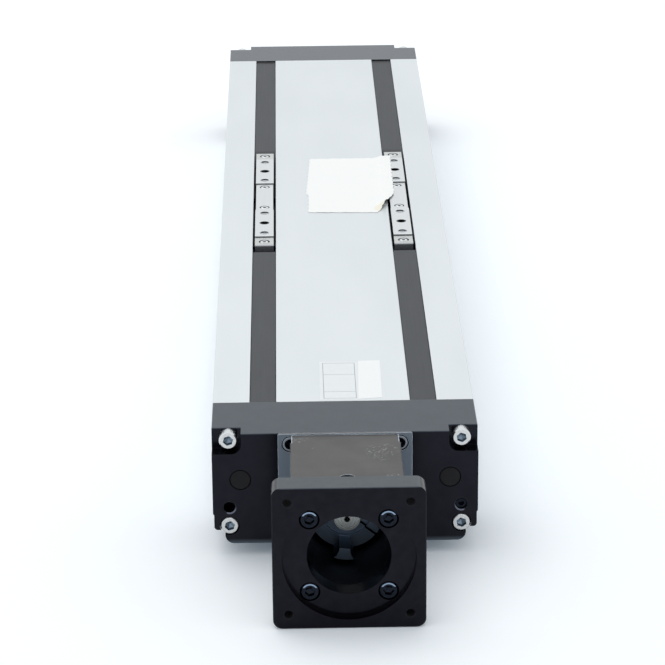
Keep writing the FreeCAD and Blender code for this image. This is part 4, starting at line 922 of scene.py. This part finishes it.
def paper_height(x, y):
    """How the sheet lies: on the cover, up over the bar, with shallow creases and a raised corner."""
    climb = min(max((x - bar_edge_x + climb_run) / climb_run, 0.0), 1.0)
    level = paper_level + (bar_level - paper_level) * climb * climb * (3 - 2 * climb)
    crease = crease_height * (1 + math.sin(0.31 * x + 0.13 * y)) * (1 + math.sin(0.21 * y - 0.17 * x)) / 4
    near = max(0.0, 1 - math.hypot(x - curl_corner.x, y - curl_corner.y) / curl_reach)
    return level + crease + curl_height * near * near


sheet = bmesh.new()
rim_verts = [sheet.verts.new((x * MM, y * MM, 0)) for x, y in torn(outline)]
rim_edges = [sheet.edges.new((a, b)) for a, b in zip(rim_verts, rim_verts[1:] + rim_verts[:1])]
bmesh.ops.triangle_fill(sheet, use_beauty=True, edges=rim_edges)
for _ in range(2):
    long_edges = [e for e in sheet.edges if e.calc_length() > 3 * cell * MM]
    bmesh.ops.subdivide_edges(sheet, edges=long_edges, cuts=3)
    bmesh.ops.triangulate(sheet, faces=sheet.faces)
for corner in sheet.verts:
    corner.co.z = paper_height(corner.co.x / MM, corner.co.y / MM) * MM
if sum(face.normal.z for face in sheet.faces) < 0:
    bmesh.ops.reverse_faces(sheet, faces=sheet.faces)
raised = bmesh.ops.extrude_face_region(sheet, geom=list(sheet.faces))
for item in raised["geom"]:
    if isinstance(item, bmesh.types.BMVert):
        item.co.z += paper_thickness * MM
bmesh.ops.recalc_face_normals(sheet, faces=sheet.faces)
paper_mesh = bpy.data.meshes.new("paper_sticker")
sheet.to_mesh(paper_mesh)
sheet.free()
paper_mesh.materials.append(paper.material)
paper_piece = bpy.data.objects.new("paper_sticker", paper_mesh)
bpy.context.collection.objects.link(paper_piece)
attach(paper_piece, "root")


# The studio
# A white table that also serves as the backdrop, an overcast sky of light and one wide softbox.
# The table touches the lower edge of the flange and the far foot of the body.

flange_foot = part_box("motor_mount_flange")[0]
body_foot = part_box("idle_end_block")
table_tilt = math.atan2(body_foot[0].z - flange_foot.z, body_foot[1].y - flange_foot.y)
table_gap = 0.1 * MM
table_size = 12.0
table_glow = 0.12
table_mesh = bpy.data.meshes.new("table")
table_shape = bmesh.new()
bmesh.ops.create_grid(table_shape, x_segments=1, y_segments=1, size=table_size / 2)
bmesh.ops.transform(table_shape, verts=table_shape.verts, matrix=Matrix.Rotation(table_tilt, 4, "X"))
table_shape.to_mesh(table_mesh)
table_shape.free()
table = bpy.data.objects.new("table", table_mesh)
table.location = (0, flange_foot.y, flange_foot.z - table_gap)
bpy.context.collection.objects.link(table)

table_white = Finish("table_white", specular=0.0)
rays = table_white.tree.nodes.new("ShaderNodeLightPath")
seen = Signal(table_white, rays.outputs["Is Camera Ray"])
mirrored = Signal(table_white, rays.outputs["Is Glossy Ray"])
shown = table_white.node("ShaderNodeMath", {"operation": "MAXIMUM"}, {0: seen, 1: mirrored})
table_white.set("Roughness", 0.9)
table_white.set("Base Color", table_white.between(shown, (0.70, 0.71, 0.72), (0.98, 0.99, 1.0)))
table_white.set("Emission Color", (0.62, 0.80, 1.0, 1.0))
table_white.set("Emission Strength", seen * table_glow)
table_mesh.materials.append(table_white.material)

world = bpy.data.worlds.new("studio")
bpy.context.scene.world = world
world.use_nodes = True
sky = Wiring(world.node_tree)
background = world.node_tree.nodes["Background"]
sky_rays = world.node_tree.nodes.new("ShaderNodeLightPath")
sky_seen = sky.node("ShaderNodeMath", {"operation": "MAXIMUM"},
                    {0: Signal(sky, sky_rays.outputs["Is Camera Ray"]),
                     1: Signal(sky, sky_rays.outputs["Is Glossy Ray"])})
sky_level = 0.80
sky.feed(background.inputs["Color"], (0.96, 0.99, 1.0, 1.0))
sky.feed(background.inputs["Strength"], sky_level + sky_seen * (1.0 - sky_level))

softbox_side = 1.6
softbox_watts = 11.0
softbox = bpy.data.lights.new("softbox", "AREA")
softbox.shape = "RECTANGLE"
softbox.size = softbox_side
softbox.size_y = softbox_side
softbox.energy = softbox_watts
softbox_place = bpy.data.objects.new("softbox", softbox)
softbox_place.location = (-0.5, 0.3, 1.9)
softbox_aim = -softbox_place.location
softbox_place.rotation_euler = softbox_aim.to_track_quat("-Z", "Y").to_euler()
bpy.context.collection.objects.link(softbox_place)

view_settings = bpy.context.scene.view_settings
view_settings.view_transform = "Standard"

camera_place = Vector((-28.5, -1871.2, 686.6)) * MM
camera_yaw = 0.0151
camera_pitch = 0.3647
camera_roll = -0.0096
focal_pixels = 2956.9
photo_width = 665
sensor = 36.0
level_share = math.cos(camera_pitch)
ahead = Vector((math.sin(camera_yaw) * level_share, math.cos(camera_yaw) * level_share,
                -math.sin(camera_pitch)))
level_right = Vector((math.cos(camera_yaw), -math.sin(camera_yaw), 0))
level_up = level_right.cross(ahead)
rightwards = level_right * math.cos(camera_roll) + level_up * math.sin(camera_roll)
upright = level_up * math.cos(camera_roll) - level_right * math.sin(camera_roll)
lens = bpy.data.cameras.new("camera")
lens.sensor_width = sensor
lens.lens = sensor * focal_pixels / photo_width
camera = bpy.data.objects.new("camera", lens)
camera_turn = Matrix((rightwards, upright, -ahead)).transposed().to_4x4()
camera.matrix_world = Matrix.Translation(camera_place) @ camera_turn
bpy.context.collection.objects.link(camera)
bpy.context.scene.camera = camera
